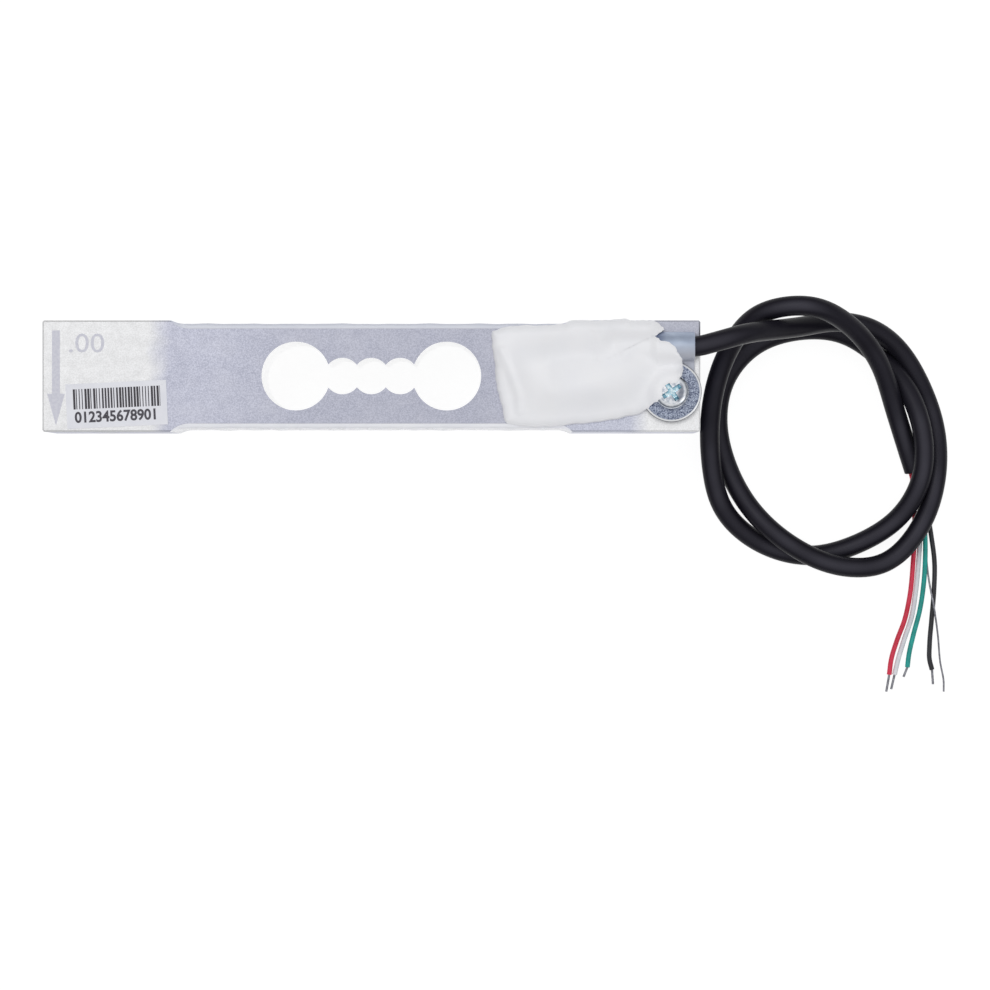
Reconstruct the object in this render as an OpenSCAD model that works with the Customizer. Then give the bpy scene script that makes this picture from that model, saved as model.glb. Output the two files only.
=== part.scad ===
// Single point load cell: an aluminium binocular beam lying on its side, with four foil gauges under
// silicone, a terminal board under a silicone blob, and a clamped cable whose four wires end bare.
// X runs along the beam to the cable end, Y is the load direction, Z points away from the table.

/* [Spring body] */
// Length of the beam
body_length = 130; // [122:1:150]
// Height of the beam in the load direction
body_height = 22; // [20:0.5:26]
// Width of the beam, from the side it lies on to the side with the cable clamp
body_width = 30; // [28:0.5:40]
// Length of each solid end block
end_block = 25.2; // [22:0.2:28]
// Depth of the milled recesses over and under the waist
recess_depth = 1.65; // [1.3:0.05:2.2]
// Radius that the cutter leaves at the ends of a recess
recess_runout_r = 5.5; // [4:0.5:10]
// Width of the broken edges of the beam
edge_break = 0.3; // [0.1:0.05:0.6]

/* [Sensing bores] */
// Diameter of the two large bores
bore_d = 13.6; // [12.8:0.1:14.4]
// Distance between the two large bores
bore_spacing = 29.8; // [29:0.2:31]
// Diameter of the three small bores between them
small_bore_d = 7.2; // [6.6:0.1:7.6]
// Distance from one small bore to the next
small_bore_pitch = 5.7; // [5.2:0.1:6]

/* [Mounting holes] */
// Diameter of the M6 tapped holes
mount_hole_d = 5; // [4.2:0.1:5.5]
// Distance of the tapped holes from the end of the beam
mount_edge = 12; // [11:0.5:14]
// Distance between the two tapped holes of one end
mount_pitch = 15; // [12:0.5:16]
// Width of the chamfer at each mouth of a tapped hole
hole_chamfer = 0.5; // [0.2:0.1:0.8]

/* [Gauges and seals] */
// Length of a foil gauge carrier
gauge_length = 8; // [6:0.5:9]
// Width of a foil gauge carrier
gauge_width = 5; // [4:0.5:6]
// Thickness of a foil gauge carrier
gauge_carrier_t = 0.1; // [0.05:0.05:0.2]
// Thickness of the gauge foil
gauge_foil_t = 0.05; // [0.05:0.05:0.1]
// Width of one foil line
gauge_line_w = 0.2; // [0.15:0.05:0.25]
// Number of foil lines, an even number
gauge_lines = 6; // [4:2:8]
// Diameter of an enamelled gauge lead
lead_d = 0.3; // [0.2:0.05:0.4]
// Thickness of the silicone layer in a recess
seal_t = 1; // [0.8:0.05:1.2]
// Radius of the long edges of the silicone layer
seal_edge_r = 0.6; // [0.3:0.1:0.8]

/* [Terminal board] */
// Length of the terminal board
board_length = 18; // [16:0.5:22]
// Width of the terminal board
board_width = 11; // [9:0.5:12]
// Thickness of the terminal board
board_t = 1; // [0.6:0.1:1.6]
// Distance from the cable end of the beam to the far end of the board
board_from_end = 38; // [37:0.5:39]
// Radius of a solder joint
solder_r = 0.6; // [0.5:0.05:0.7]
// Height of a solder joint
solder_h = 0.5; // [0.4:0.05:0.7]
// Length of a chip resistor
resistor_length = 3.2; // [2:0.1:3.6]
// Width of a chip resistor
resistor_width = 1.6; // [1.2:0.1:2]
// Height of a chip resistor
resistor_t = 0.6; // [0.4:0.1:0.8]

/* [Cable clamp] */
// Distance of the clamp screw from the cable end of the beam
screw_from_end = 5.8; // [5.4:0.1:6.2]
// Distance of the clamp screw under the middle of the beam
screw_below = 3.1; // [2.8:0.1:3.6]
// Thread diameter of the clamp screw
screw_d = 4; // [3.5:0.1:4.2]
// Length of the clamp screw under its head
screw_length = 8; // [6:0.5:10]
// Diameter of the screw head
head_d = 7; // [6.6:0.1:7.6]
// Height of the screw head
head_h = 2.5; // [2:0.1:3]
// Radius of the domed edge of the screw head
head_edge_r = 1.2; // [0.6:0.1:1.6]
// Length of the cross recess in the head
cross_length = 4.2; // [3.6:0.1:4.6]
// Width of the cross recess in the head
cross_width = 1; // [0.8:0.1:1.2]
// Depth of the cross recess in the head
cross_depth = 1.4; // [1:0.1:1.6]
// Outer diameter of the washer
washer_d = 12; // [10:0.5:12.5]
// Thickness of the washer
washer_t = 1; // [0.8:0.1:1.5]
// Width of the chamfer round the washer's rim
washer_chamfer = 0.45; // [0.2:0.05:0.6]
// Thickness of the clip's sheet metal
clip_t = 0.8; // [0.5:0.05:1]
// Width of the clip along the cable
clip_width = 8; // [7:0.5:9]
// Distance of the clip from the cable end of the beam
clip_from_end = 1.2; // [0.6:0.1:2]
// Length of the clip's foot past the middle of the screw
clip_toe = 3.6; // [3:0.1:4.4]

/* [Potting] */
// Height of the silicone blob over the board
pot_height = 4.6; // [4:0.1:6]
// Thickness of the silicone that laps over the edge of the beam
lip_t = 0.7; // [0.4:0.05:1]
// Depth that the silicone runs down past the edge of the beam
lip_drop = 5; // [3:0.5:8]

/* [Label] */
// Length of the paper label
label_length = 19.9; // [16:0.1:22]
// Width of the paper label
label_width = 8.8; // [7:0.1:10]
// Thickness of the paper label
label_t = 0.1; // [0.1:0.05:0.2]
// Distance of the label's middle from the load end of the beam
label_from_end = 14.7; // [13:0.1:16]
// Distance of the label's middle under the middle of the beam
label_below = 5.6; // [5:0.1:6]
// Angle at which the label is stuck on
label_turn = 2.6; // [0:0.1:5]

/* [Cable] */
// Diameter of the cable sheath
cable_d = 4; // [3.6:0.1:4.2]
// Diameter of one insulated wire
wire_d = 1; // [0.8:0.05:1.2]
// Diameter of the bare twisted end of a wire
tip_d = 0.5; // [0.4:0.05:0.6]
// Diameter of the bare drain wire
drain_d = 0.4; // [0.35:0.05:0.5]

/* [Clearances] */
// Gap between the silicone and what it is poured over
pot_gap = 0.05; // [0.02:0.01:0.1]
// Gap between the cable and the clip
cable_gap = 0.05; // [0.02:0.01:0.1]
// Gap round the screw in its holes
screw_gap = 0.1; // [0.05:0.05:0.2]
// Gap between a gauge or a lead and the silicone over it
seal_gap = 0.05; // [0.02:0.01:0.1]

/* [Hidden] */
$fn = 48;
past = 1;

half_length = body_length / 2;
half_height = body_height / 2;
waist_half = half_length - end_block;
floor_y = half_height - recess_depth;
seal_y = floor_y + seal_t;
mid_z = body_width / 2;

screw_x = half_length - screw_from_end;
screw_y = -screw_below;
clip_x = half_length - clip_from_end - clip_width / 2;
clip_inner_r = cable_d / 2 + cable_gap;
clip_outer_r = clip_inner_r + clip_t;
washer_z = body_width + clip_t;
head_z = washer_z + washer_t;
clip_hole_d = screw_d + 2 * screw_gap;
screw_hole_depth = screw_length + 2;

board_x = half_length - board_from_end + board_length / 2;
board_top = body_width + board_t;
pad_inset = 1.5;
core_pad_inset = 2.7;
core_pad_edge = 0.9;
core_pad_x = board_x + board_length / 2 - core_pad_inset;
core_end_x = core_pad_x + solder_r + pot_gap;
core_count = 4;
core_pad_pitch = 1.7;
core_straight = 1.6;
core_leave = 0.6;
core_stagger = 0.9;
core_off_axis = 0.55 * wire_d;
lead_pad_y = board_width / 2 - pad_inset;
lead_pad_pitch = 2.2;
lead_pitch = 0.6;
lead_row_x = board_x - board_length / 2 + 2 * pad_inset;
lead_count = 4;
gauge_t = gauge_carrier_t + gauge_foil_t;
lead_y = floor_y + gauge_t + lead_d / 2;
resistor_apart = 4.4;
resistor_clear = 1.8;
resistor_x = core_pad_x - solder_r - resistor_clear - resistor_length / 2;
cross_turn = 33;

// Middle of the cable where it passes through the clip
cable_y = 5.8;
cable_z = body_width + cable_d / 2;

// Where the sheath starts, with room to fan the wires out between it and the board
core_fan = 4.5;
cable_start = board_x + board_length / 2 + core_fan;

// Route of the sheath, from its cut end on the board's side, out of the clip, twice round and
// down to the cut end that the wires come out of. Points past its first are measured from the
// cable end of the beam
sheath_route = concat([[cable_start, cable_y, cable_z]], past_end([
    [-1, cable_y, cable_z], [4, 7, 31.5], [9, 8.5, 28.5], [14.5, 9.3, 23],
    [21, 10.2, 17], [28, 11.5, 10.5], [35, 10.5, 7.5], [41.5, 6, 3.5], [46, -1.5, 2.5],
    [49, -10.5, 2], [49, -20, 3.5], [46, -29.5, 4.1], [38.5, -37.5, 4.6], [29, -38, 6],
    [20.5, -34.5, 6.2], [12.5, -28, 5.5], [7, -19, 2.5], [4.5, -9, 2], [6, 0, 2],
    [12, 7, 2], [21, 10, 2], [30, 9.5, 2], [37.5, 4.5, 2.5], [43.2, -2.5, 5.9],
    [46, -11, 7], [46, -19.5, 6.5], [41.5, -28, 4.5], [33, -33.5, 2.5], [23.5, -36, 2],
    [13.5, -33.5, 2.5], [5.5, -26.5, 4.5], [3, -16, 6.5], [3, -6, 8.5], [6, 5, 13],
    [13, 13.2, 21], [22, 14.3, 23], [30.5, 10.5, 17], [37, 3, 10.5], [40.3, -6, 5.3],
    [44.5, -18.5, 2]
]));

// Way that the sheath points at its cut end, and the sideways direction there
sheath_end = sheath_route[len(sheath_route) - 1];
end_along = unit(sheath_end - sheath_route[len(sheath_route) - 2]);
end_side = unit(cross([0, 0, 1], end_along));
bundle_r = 0.75 * wire_d;

// Routes of the wires over the table, to the end of their insulation
red_route = concat(leaving(-1, 0), past_end([
    [44.4, -22.5, 1], [44.7, -26.5, 0.5], [44.8, -31, 0.5], [44.5, -36.5, 0.5], [43.7, -44.5, 0.5],
    [42.7, -49, 0.5], [41.2, -53, 0.5], [40, -57, 0.5], [39.6, -60, 0.5]
]));
white_route = concat(leaving(0, -1), past_end([
    [45.4, -22.5, 0.6], [45.8, -26.3, 0.5], [45.9, -31, 0.5], [45.6, -36.5, 0.5], [45, -43, 0.5],
    [44.1, -48.5, 0.5], [42.6, -53, 0.5], [41.4, -57, 0.5], [40.7, -60, 0.5]
]));
green_route = concat(leaving(0, 1), past_end([
    [45.7, -22.5, 1.8], [46.4, -26.5, 1.4], [46.8, -31, 1.3], [46.9, -35.5, 1], [46.7, -40.5, 0.6],
    [45.8, -47, 0.5], [44.5, -52, 0.5], [43.6, -56, 0.5], [43.3, -58.5, 0.5]
]));
black_route = concat(leaving(1, 0), past_end([
    [46.8, -22.5, 0.7], [47.3, -26.5, 0.5], [48.1, -31.5, 0.5], [48.8, -37, 0.5], [48.7, -43, 0.5],
    [48.2, -49, 0.5], [47.8, -54, 0.5], [47.8, -57, 0.5], [48.3, -59, 0.5]
]));
drain_route = concat(leaving(0, 0), past_end([
    [46.1, -22.5, 1.1], [46.53, -26.5, 0.4], [46.7, -31, 0.2], [47.1, -35.5, 0.2], [47.7, -41, 0.5],
    [48.5, -45.5, 1.4], [49.5, -52, 0.4], [50, -57.5, 0.2], [50.7, -61.5, 0.2], [50.7, -63.5, 0.2]
]));

// Ends of the bare twisted strands that stick out of each wire
red_tip_end = beyond([39, -63.5, 0.5]);
white_tip_end = beyond([40, -63, 0.5]);
green_tip_end = beyond([42.5, -60.5, 0.5]);
black_tip_end = beyond([48.5, -62, 0.5]);

// Edges of the face that the blob reaches to, over and under the middle of the beam
pot_top = half_height;
pot_low = 0.8 - half_height;
// Thickness of the silicone where it laps over the screw head and over the clip
over_head = clip_t + washer_t + head_h + lip_t;
over_clip = cable_z - body_width + clip_outer_r + lip_t;

// Outline of the blob, each point as its distance from the cable end of the beam, its place over
// the middle of the beam and how thick the silicone is there
pot_outline = [
    [38.6, pot_top - 0.4, 1.5], [41.2, pot_top - 2.1, 1.6], [41.1, 4.9, 1.7], [40.4, -0.2, 1.8],
    [39.3, -5.5, 1.7], [38.6, pot_low + 1.2, 1.6], [35.6, pot_low + 0.4, 1.5], [31, pot_low, 1.6],
    [27, pot_low, 1.8], [20.7, pot_low + 1, 1.8], [15.9, pot_low + 1.7, 1.9], [12.2, pot_low + 2.6, 2.1],
    [10.2, -6, 2.6], [9, -5, 3.4], [7.4, -2.8, over_head], [4.7, -0.4, over_head], [3.7, 1.4, 3.8],
    [3.8, 3, 3.4], [5.7, 5.9, over_clip], [7.2, 6.7, over_clip], [8.9, 7.7, 4.4], [6.9, 8.7, 3.2],
    [9.1, pot_top - 1.3, 2.4], [12, pot_top - 0.1, 1.9], [15.5, pot_top + 0.4, 1.8], [20, pot_top, 1.7],
    [26, pot_top - 0.1, 1.6], [32, pot_top - 0.1, 1.6]
];
// Each ring of the blob: its share of the outline, of the edge thickness and of the crown
pot_rings = [
    [0.985, 0, 0], [1, 0.35, 0], [0.99, 0.75, 0], [0.96, 1, 0.05], [0.86, 1.04, 0.4],
    [0.7, 1.02, 0.75], [0.5, 1, 0.95], [0.28, 1, 1], [0.1, 1, 0.98]
];
pot_steps = 2;
pot_lump = 0.25;
pot_middle_from_end = 23;
pot_middle = [half_length - pot_middle_from_end, 1];

// Where the silicone laps over the edge of the beam, from the cable end
lip_from_end = 29;
lip_length = 9;

function unit(v) = v / norm(v);

// Points measured along the beam from its cable end
function beyond(p) = [half_length + p[0], p[1], p[2]];
function past_end(route) = [for (p = route) beyond(p)];

// First two points of a wire that leaves the cut end of the sheath, from its place in the bundle
function leaving(side, lift) = let (
    start = sheath_end + bundle_r * (side * end_side + lift * cross(end_along, end_side))
) [start, start + wire_d * end_along];

// Point on a smooth curve through four points, a share t of the way from the second to the third
function curve_point(a, b, c, d, t) =
    (2 * b + (c - a) * t + (2 * a - 5 * b + 4 * c - d) * t * t + (3 * b - a - 3 * c + d) * t * t * t) / 2;

// Smooth closed curve through a list of points, with a number of steps from each to the next
function closed_curve(points, steps) = let (n = len(points)) [
    for (i = [0:n - 1], s = [0:steps - 1])
        curve_point(points[(i + n - 1) % n], points[i], points[(i + 1) % n], points[(i + 2) % n], s / steps)
];

function route_direction(route, i) =
    unit(route[min(i + 1, len(route) - 1)] - route[max(i - 1, 0)]);

// Sideways direction at each point of a route, carried along it without twist
function carried(route, i, across) =
    i == len(route) ? [] :
    let (along = route_direction(route, i), a = unit(across - (across * along) * along))
    concat([a], carried(route, i + 1, a));

// Tube along a route, with one ring of points at each point of the route
module tube(route, d, sides, up = [0, 0, 1]) {
    rings = len(route);
    sideways = carried(route, 0, cross(route_direction(route, 0), up));
    points = [
        for (i = [0:rings - 1])
            let (lift = cross(sideways[i], route_direction(route, i)))
            for (k = [0:sides - 1])
                route[i] + d / 2 * (cos(360 * k / sides) * sideways[i] + sin(360 * k / sides) * lift)
    ];
    walls = [
        for (i = [0:rings - 2], k = [0:sides - 1], half = [0, 1])
            let (a = i * sides + k, b = i * sides + (k + 1) % sides)
            half == 0 ? [a, b, b + sides] : [a, b + sides, a + sides]
    ];
    start_cap = [[for (k = [0:sides - 1]) sides - 1 - k]];
    end_cap = [[for (k = [0:sides - 1]) (rings - 1) * sides + k]];
    polyhedron(points, concat(walls, start_cap, end_cap));
}

module broken_rectangle(size, edge) {
    x = size[0] / 2;
    y = size[1] / 2;
    polygon([
        [edge - x, -y], [x - edge, -y], [x, edge - y], [x, y - edge],
        [x - edge, y], [edge - x, y], [-x, y - edge], [-x, edge - y]
    ]);
}

// Block with every edge broken, standing on z = 0
module broken_block(length, height, width, edge) {
    translate([0, 0, width / 2])
        intersection() {
            linear_extrude(width, center = true) broken_rectangle([length, height], edge);
            rotate([90, 0, 0])
                linear_extrude(height, center = true) broken_rectangle([length, width], edge);
            rotate([90, 0, 90])
                linear_extrude(length, center = true) broken_rectangle([height, width], edge);
        }
}

// What a cutter takes out along one long face: a flat floor that runs out in an arc at each end
module recess_cut(depth, reach) {
    runout = sqrt(2 * recess_runout_r * depth - depth * depth);
    floor_half = reach - runout;
    translate([-floor_half, half_height - depth, -past])
        cube([2 * floor_half, depth + past, body_width + 2 * past]);
    for (side = [-1, 1])
        translate([side * floor_half, half_height - depth + recess_runout_r, -past])
            cylinder(r = recess_runout_r, h = body_width + 2 * past, $fn = 96);
}

module both_faces() {
    children();
    mirror([0, 1, 0]) children();
}

// Tapped hole through the beam's height, with a chamfer at both mouths
module mount_bore() {
    cylinder(d = mount_hole_d, h = body_height + 2 * past, center = true);
    for (flip = [0, 1])
        mirror([0, 0, flip])
            translate([0, 0, half_height - hole_chamfer])
                cylinder(d1 = mount_hole_d, d2 = mount_hole_d + 4 * hole_chamfer, h = 2 * hole_chamfer);
}

module spring_body() {
    color([0.8, 0.81, 0.84])
        difference() {
            broken_block(body_length, body_height, body_width, edge_break);
            both_faces() recess_cut(recess_depth, waist_half);
            for (side = [-1, 1])
                translate([side * bore_spacing / 2, 0, -past])
                    cylinder(d = bore_d, h = body_width + 2 * past, $fn = 96);
            for (step = [-1:1])
                translate([step * small_bore_pitch, 0, -past])
                    cylinder(d = small_bore_d, h = body_width + 2 * past, $fn = 64);
            for (side = [-1, 1], row = [-1, 1])
                translate([side * (half_length - mount_edge), 0, mid_z + row * mount_pitch / 2])
                    rotate([90, 0, 0]) mount_bore();
            translate([screw_x, screw_y, body_width - screw_hole_depth])
                cylinder(d = clip_hole_d, h = screw_hole_depth + past);
        }
}

// Foil gauge lying flat: the carrier, a grid of lines joined in turn at their ends, and two tabs
module foil_gauge() {
    line_pitch = 2 * gauge_line_w;
    line_length = gauge_length / 2;
    grid_width = (gauge_lines - 1) * line_pitch;
    tab = [gauge_length / 5, grid_width / 2 - gauge_line_w / 2];
    translate([-gauge_length / 2, -gauge_width / 2, 0]) cube([gauge_length, gauge_width, gauge_carrier_t]);
    translate([-gauge_length / 2 + 2 * gauge_line_w, 0, 0]) {
        for (i = [0:gauge_lines - 1])
            translate([0, i * line_pitch - grid_width / 2 - gauge_line_w / 2, 0])
                cube([line_length, gauge_line_w, gauge_t]);
        for (i = [0:gauge_lines - 2])
            if (i % 2 == 0 || i != floor(gauge_lines / 2) - 1)
                translate([i % 2 == 0 ? 0 : line_length - gauge_line_w,
                           i * line_pitch - grid_width / 2 - gauge_line_w / 2, 0])
                    cube([gauge_line_w, line_pitch + gauge_line_w, gauge_t]);
        for (side = [-1, 1])
            translate([line_length - gauge_line_w,
                       side * (grid_width + gauge_line_w - tab[1]) / 2 - tab[1] / 2, 0])
                cube([tab[0], tab[1], gauge_t]);
    }
}

module place_gauge(side) {
    color([0.78, 0.55, 0.2])
        translate([side * bore_spacing / 2, floor_y, mid_z])
            rotate([-90, 0, 0]) foil_gauge();
}

module gauge_top_load_end() { place_gauge(-1); }
module gauge_top_cable_end() { place_gauge(1); }
module gauge_bottom_load_end() { mirror([0, 1, 0]) place_gauge(-1); }
module gauge_bottom_cable_end() { mirror([0, 1, 0]) place_gauge(1); }

// Where lead i of a face lies: how far over the middle of the width it leaves its tab and runs
function lead_out(i) = [-1, 0, 0, 1][i] * (gauge_width / 2 + lead_pitch);
function lead_tab(i) = (i < lead_count / 2 ? -1 : 1) * gauge_lines * gauge_line_w / 2;
function lead_run(i) = mid_z + (lead_out(i) == 0 ? lead_tab(i) : lead_out(i));
// The outer two leads come from the gauge at the load end, the inner two from the near one
function lead_start(i) = (lead_out(i) == 0 ? 1 : -1) * bore_spacing / 2 + gauge_length / 8;
function lead_x(i) = lead_row_x + (lead_count - 1 - i) * lead_pad_pitch;

// Enamelled leads of one face: along the floor from the gauge, up to the clamp side, over the edge
// and back to the row of pads on the board
module gauge_leads() {
    bend = lead_d / 2;
    step = 2 * lead_d;
    edge_z = body_width + lead_d / 2 + seal_gap;
    pad_y = lead_pad_y + solder_r + pot_gap;
    pad_z = board_top + lead_d;
    for (i = [0:lead_count - 1]) {
        x = lead_x(i);
        z = lead_run(i);
        turn = sign(lead_out(i)) * bend;
        tab_start = lead_out(i) == 0 ? [] : [
            [lead_start(i), lead_y, mid_z + lead_tab(i)], [lead_start(i), lead_y, z - turn]
        ];
        tube(concat(tab_start, [
            [lead_start(i) + (lead_out(i) == 0 ? 0 : bend), lead_y, z], [x - bend, lead_y, z],
            [x, lead_y, z + bend], [x, lead_y, edge_z - bend], [x, lead_y - bend, edge_z],
            [x, board_width / 2 + 2 * step, edge_z], [x, board_width / 2 + step / 2, pad_z],
            [x, pad_y, pad_z]
        ]), lead_d, 6, up = [0, 1, 0]);
    }
}

// The room that the leads take in the silicone over them
module lead_room() {
    side = lead_d + 2 * seal_gap;
    height = lead_y + lead_d / 2 + seal_gap - floor_y;
    for (i = [0:lead_count - 1]) {
        x = lead_x(i);
        start = lead_start(i);
        z = lead_run(i);
        tab_z = mid_z + lead_tab(i);
        if (lead_out(i) != 0)
            translate([start - side / 2, floor_y, min(z, tab_z) - side / 2])
                cube([side, height, abs(z - tab_z) + side]);
        translate([start - side / 2, floor_y, z - side / 2]) cube([x - start + side, height, side]);
        translate([x - side / 2, floor_y, z - side / 2]) cube([side, height, body_width + past - z]);
    }
}

module top_gauge_leads() { color([0.7, 0.35, 0.15]) gauge_leads(); }
module bottom_gauge_leads() { color([0.7, 0.35, 0.15]) mirror([0, 1, 0]) gauge_leads(); }

// Silicone layer over the gauges of one recess: flat with round long edges over the waist, and
// running out up to the end blocks
module seal_layer() {
    runout_length = sqrt(2 * recess_runout_r * recess_depth);
    runout_middle = waist_half - runout_length / 2;
    room = [gauge_length + 2 * seal_gap, gauge_t + seal_gap, gauge_width + 2 * seal_gap];
    difference() {
        intersection() {
            recess_cut(recess_depth, waist_half);
            union() {
                translate([-waist_half, 0, 0])
                    rotate([90, 0, 90]) linear_extrude(2 * waist_half) seal_section();
                for (side = [-1, 1])
                    translate([side * runout_middle - runout_length / 2, floor_y, 0])
                        cube([runout_length, recess_depth, body_width]);
            }
        }
        recess_cut(recess_depth - seal_t, waist_half - edge_break);
        for (side = [-1, 1])
            translate([side * bore_spacing / 2 - room[0] / 2, floor_y, mid_z - room[2] / 2]) cube(room);
        lead_room();
    }
}

// Section of the silicone layer across the beam, as height over the middle and place in the width
module seal_section() {
    translate([floor_y, 0]) square([seal_t - seal_edge_r, body_width]);
    translate([floor_y, seal_edge_r]) square([seal_t, body_width - 2 * seal_edge_r]);
    for (z = [seal_edge_r, body_width - seal_edge_r])
        translate([seal_y - seal_edge_r, z]) circle(r = seal_edge_r);
}

module top_seal() { color([0.8, 0.82, 0.87]) seal_layer(); }
module bottom_seal() { color([0.9, 0.91, 0.93]) mirror([0, 1, 0]) seal_layer(); }

module terminal_board() {
    color([0.15, 0.4, 0.25])
        translate([board_x - board_length / 2, -board_width / 2, body_width])
            cube([board_length, board_width, board_t]);
}

// Chip resistor with a raised metal cap at each end
module chip_resistor(side) {
    cap = resistor_length / 6;
    translate([resistor_x, side * resistor_apart / 2, board_top]) {
        translate([-resistor_length / 2, -resistor_width / 2, 0])
            cube([resistor_length, resistor_width, resistor_t - edge_break / 3]);
        for (end = [-1, 1])
            translate([end * (resistor_length - cap) / 2 - cap / 2, -resistor_width / 2, 0])
                cube([cap, resistor_width, resistor_t]);
    }
}

module zero_resistor() { color([0.12, 0.12, 0.13]) chip_resistor(1); }
module span_resistor() { color([0.12, 0.12, 0.13]) chip_resistor(-1); }

function core_pad_y(i) = board_width / 2 - core_pad_edge - (core_count - 1 - i) * core_pad_pitch;

module solder_joints() {
    color([0.75, 0.76, 0.78]) {
        for (i = [0:core_count - 1]) solder_joint(core_pad_x, core_pad_y(i));
        for (i = [0:lead_count - 1], side = [-1, 1]) solder_joint(lead_x(i), side * lead_pad_y);
    }
}

module solder_joint(x, y) {
    translate([x, y, board_top]) cylinder(r1 = solder_r, r2 = solder_r / 2, h = solder_h, $fn = 24);
}

// Inner end of wire i: out of the cut sheath, fanned out at its own height, and down to its pad.
// The wires on the far side turn off later, so that they keep apart
function core_route(i) = let (
    side = [-1, -1, 1, 1][i],
    lift = [-1, 1, 1, -1][i] * core_off_axis,
    start = sheath_route[0] + [0, side * core_off_axis, lift],
    turn_off = core_leave + (side > 0 ? core_stagger : 0),
    end_z = board_top + wire_d / 2 + pot_gap,
    fan_z = max(end_z, start[2])
) [
    start, start - [turn_off, 0, 0],
    [core_end_x + core_straight, core_pad_y(i), fan_z], [core_end_x, core_pad_y(i), end_z]
];

module core(i) { tube(core_route(i), wire_d, 8); }
module red_core() { color([0.86, 0.2, 0.35]) core(0); }
module white_core() { color([0.9, 0.9, 0.93]) core(1); }
module green_core() { color([0.1, 0.6, 0.55]) core(2); }
module black_core() { color([0.1, 0.1, 0.12]) core(3); }

// The mound of silicone over the board, the cable's end and part of the clamp
module pot_mound() {
    outline = closed_curve([for (p = pot_outline) [half_length - p[0], p[1], p[2]]], pot_steps);
    count = len(outline);
    rings = len(pot_rings);
    points = concat(
        [for (ring = pot_rings, p = outline)
            let (
                x = pot_middle[0] + (p[0] - pot_middle[0]) * ring[0],
                y = pot_middle[1] + (p[1] - pot_middle[1]) * ring[0],
                lump = pot_lump * ring[2] * (sin(31 * x + 40 * y) + sin(53 * y - 17 * x)),
                edge = p[2] * ring[1] * (1 - ring[2])
            )
            [x, y, body_width + edge + pot_height * ring[2] + lump]],
        [
            [pot_middle[0], pot_middle[1], body_width + pot_height],
            [pot_middle[0], pot_middle[1], body_width]
        ]
    );
    walls = [
        for (r = [0:rings - 2], k = [0:count - 1], half = [0, 1])
            let (a = r * count + k, b = r * count + (k + 1) % count)
            half == 0 ? [a, b + count, b] : [a, a + count, b + count]
    ];
    last = (rings - 1) * count;
    top = [for (k = [0:count - 1]) [last + k, rings * count, last + (k + 1) % count]];
    base = [for (k = [0:count - 1]) [k, (k + 1) % count, rings * count + 1]];
    polyhedron(points, concat(walls, top, base));
}

// The silicone that runs down over the edge of the beam onto the layer in the recess
module pot_lip() {
    low = body_width - lip_drop;
    translate([half_length - lip_from_end - lip_length, 0, 0])
        rotate([90, 0, 90])
            linear_extrude(lip_length)
                polygon([
                    [seal_y, low], [seal_y + lip_t / 2, low], [seal_y + lip_t, low + lip_t],
                    [seal_y + lip_t, body_width + lip_t / 2], [seal_y + lip_t / 2, body_width + lip_t],
                    [seal_y, body_width + lip_t]
                ]);
}

// Block from one corner to the opposite one
module block_between(low, high) { translate(low) cube(high - low); }

// Room in the silicone for the board, its resistors, its joints, the leads and the cores
module board_room() {
    gap = [pot_gap, pot_gap, pot_gap];
    board_half = [board_length / 2, board_width / 2, 0];
    board_middle = [board_x, 0, board_top];
    joint = [solder_r, solder_r, 0];
    resistor = [resistor_length, resistor_width, 0] / 2;
    mouth = [for (side = [-1, 1]) cable_y + side * cable_d / 2];
    fan_half = core_off_axis + wire_d / 2 + pot_gap;
    fan_x = core_end_x + core_straight;
    block_between(
        board_middle - board_half - gap - [0, 0, board_t + past],
        board_middle + board_half + gap
    );
    for (side = [-1, 1])
        translate([resistor_x, side * resistor_apart / 2, board_top])
            block_between(-resistor - gap, resistor + gap + [0, 0, resistor_t]);
    for (side = [-1, 1])
        block_between(
            [lead_x(lead_count - 1), side * lead_pad_y, board_top] - joint - gap,
            [lead_x(0), side * lead_pad_y, board_top + solder_h] + joint + gap
        );
    for (i = [0:lead_count - 1], side = [-1, 1]) edge_lead_room(lead_x(i), side);
    block_between(
        [core_pad_x, core_pad_y(0), board_top] - joint - gap,
        [fan_x + pot_gap, core_pad_y(core_count - 1) + wire_d, cable_z + fan_half]
    );
    translate([0, 0, cable_z - fan_half])
        linear_extrude(2 * fan_half)
            polygon([
                [fan_x, core_pad_y(0) - wire_d], [fan_x, core_pad_y(core_count - 1) + wire_d],
                [cable_start, mouth[1]], [cable_start, mouth[0]]
            ]);
}

// Room for one lead from the edge of the beam to its pad
module edge_lead_room(x, side) {
    half_width = lead_d / 2 + pot_gap;
    outer = lead_y + half_width;
    block_between(
        [x - half_width, side > 0 ? lead_pad_y : -outer, body_width - past],
        [x + half_width, side > 0 ? outer : -lead_pad_y, board_top + 1.5 * lead_d + pot_gap]
    );
}

module potting() {
    color([0.91, 0.92, 0.94])
        difference() {
            union() {
                pot_mound();
                pot_lip();
            }
            board_room();
            translate([cable_start - pot_gap, cable_y, cable_z])
                rotate([0, 90, 0]) cylinder(d = cable_d + 2 * pot_gap, h = body_length, $fn = 32);
            translate([clip_x - clip_width / 2 - pot_gap, 0, 0])
                rotate([90, 0, 90]) linear_extrude(clip_width + 2 * pot_gap) clip_outline(pot_gap, past);
            translate([screw_x, screw_y, washer_z - pot_gap])
                cylinder(d = washer_d + 2 * pot_gap, h = washer_t + 2 * pot_gap);
            translate([screw_x, screw_y, head_z])
                cylinder(d = head_d + 2 * pot_gap, h = head_h + pot_gap);
        }
}

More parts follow.
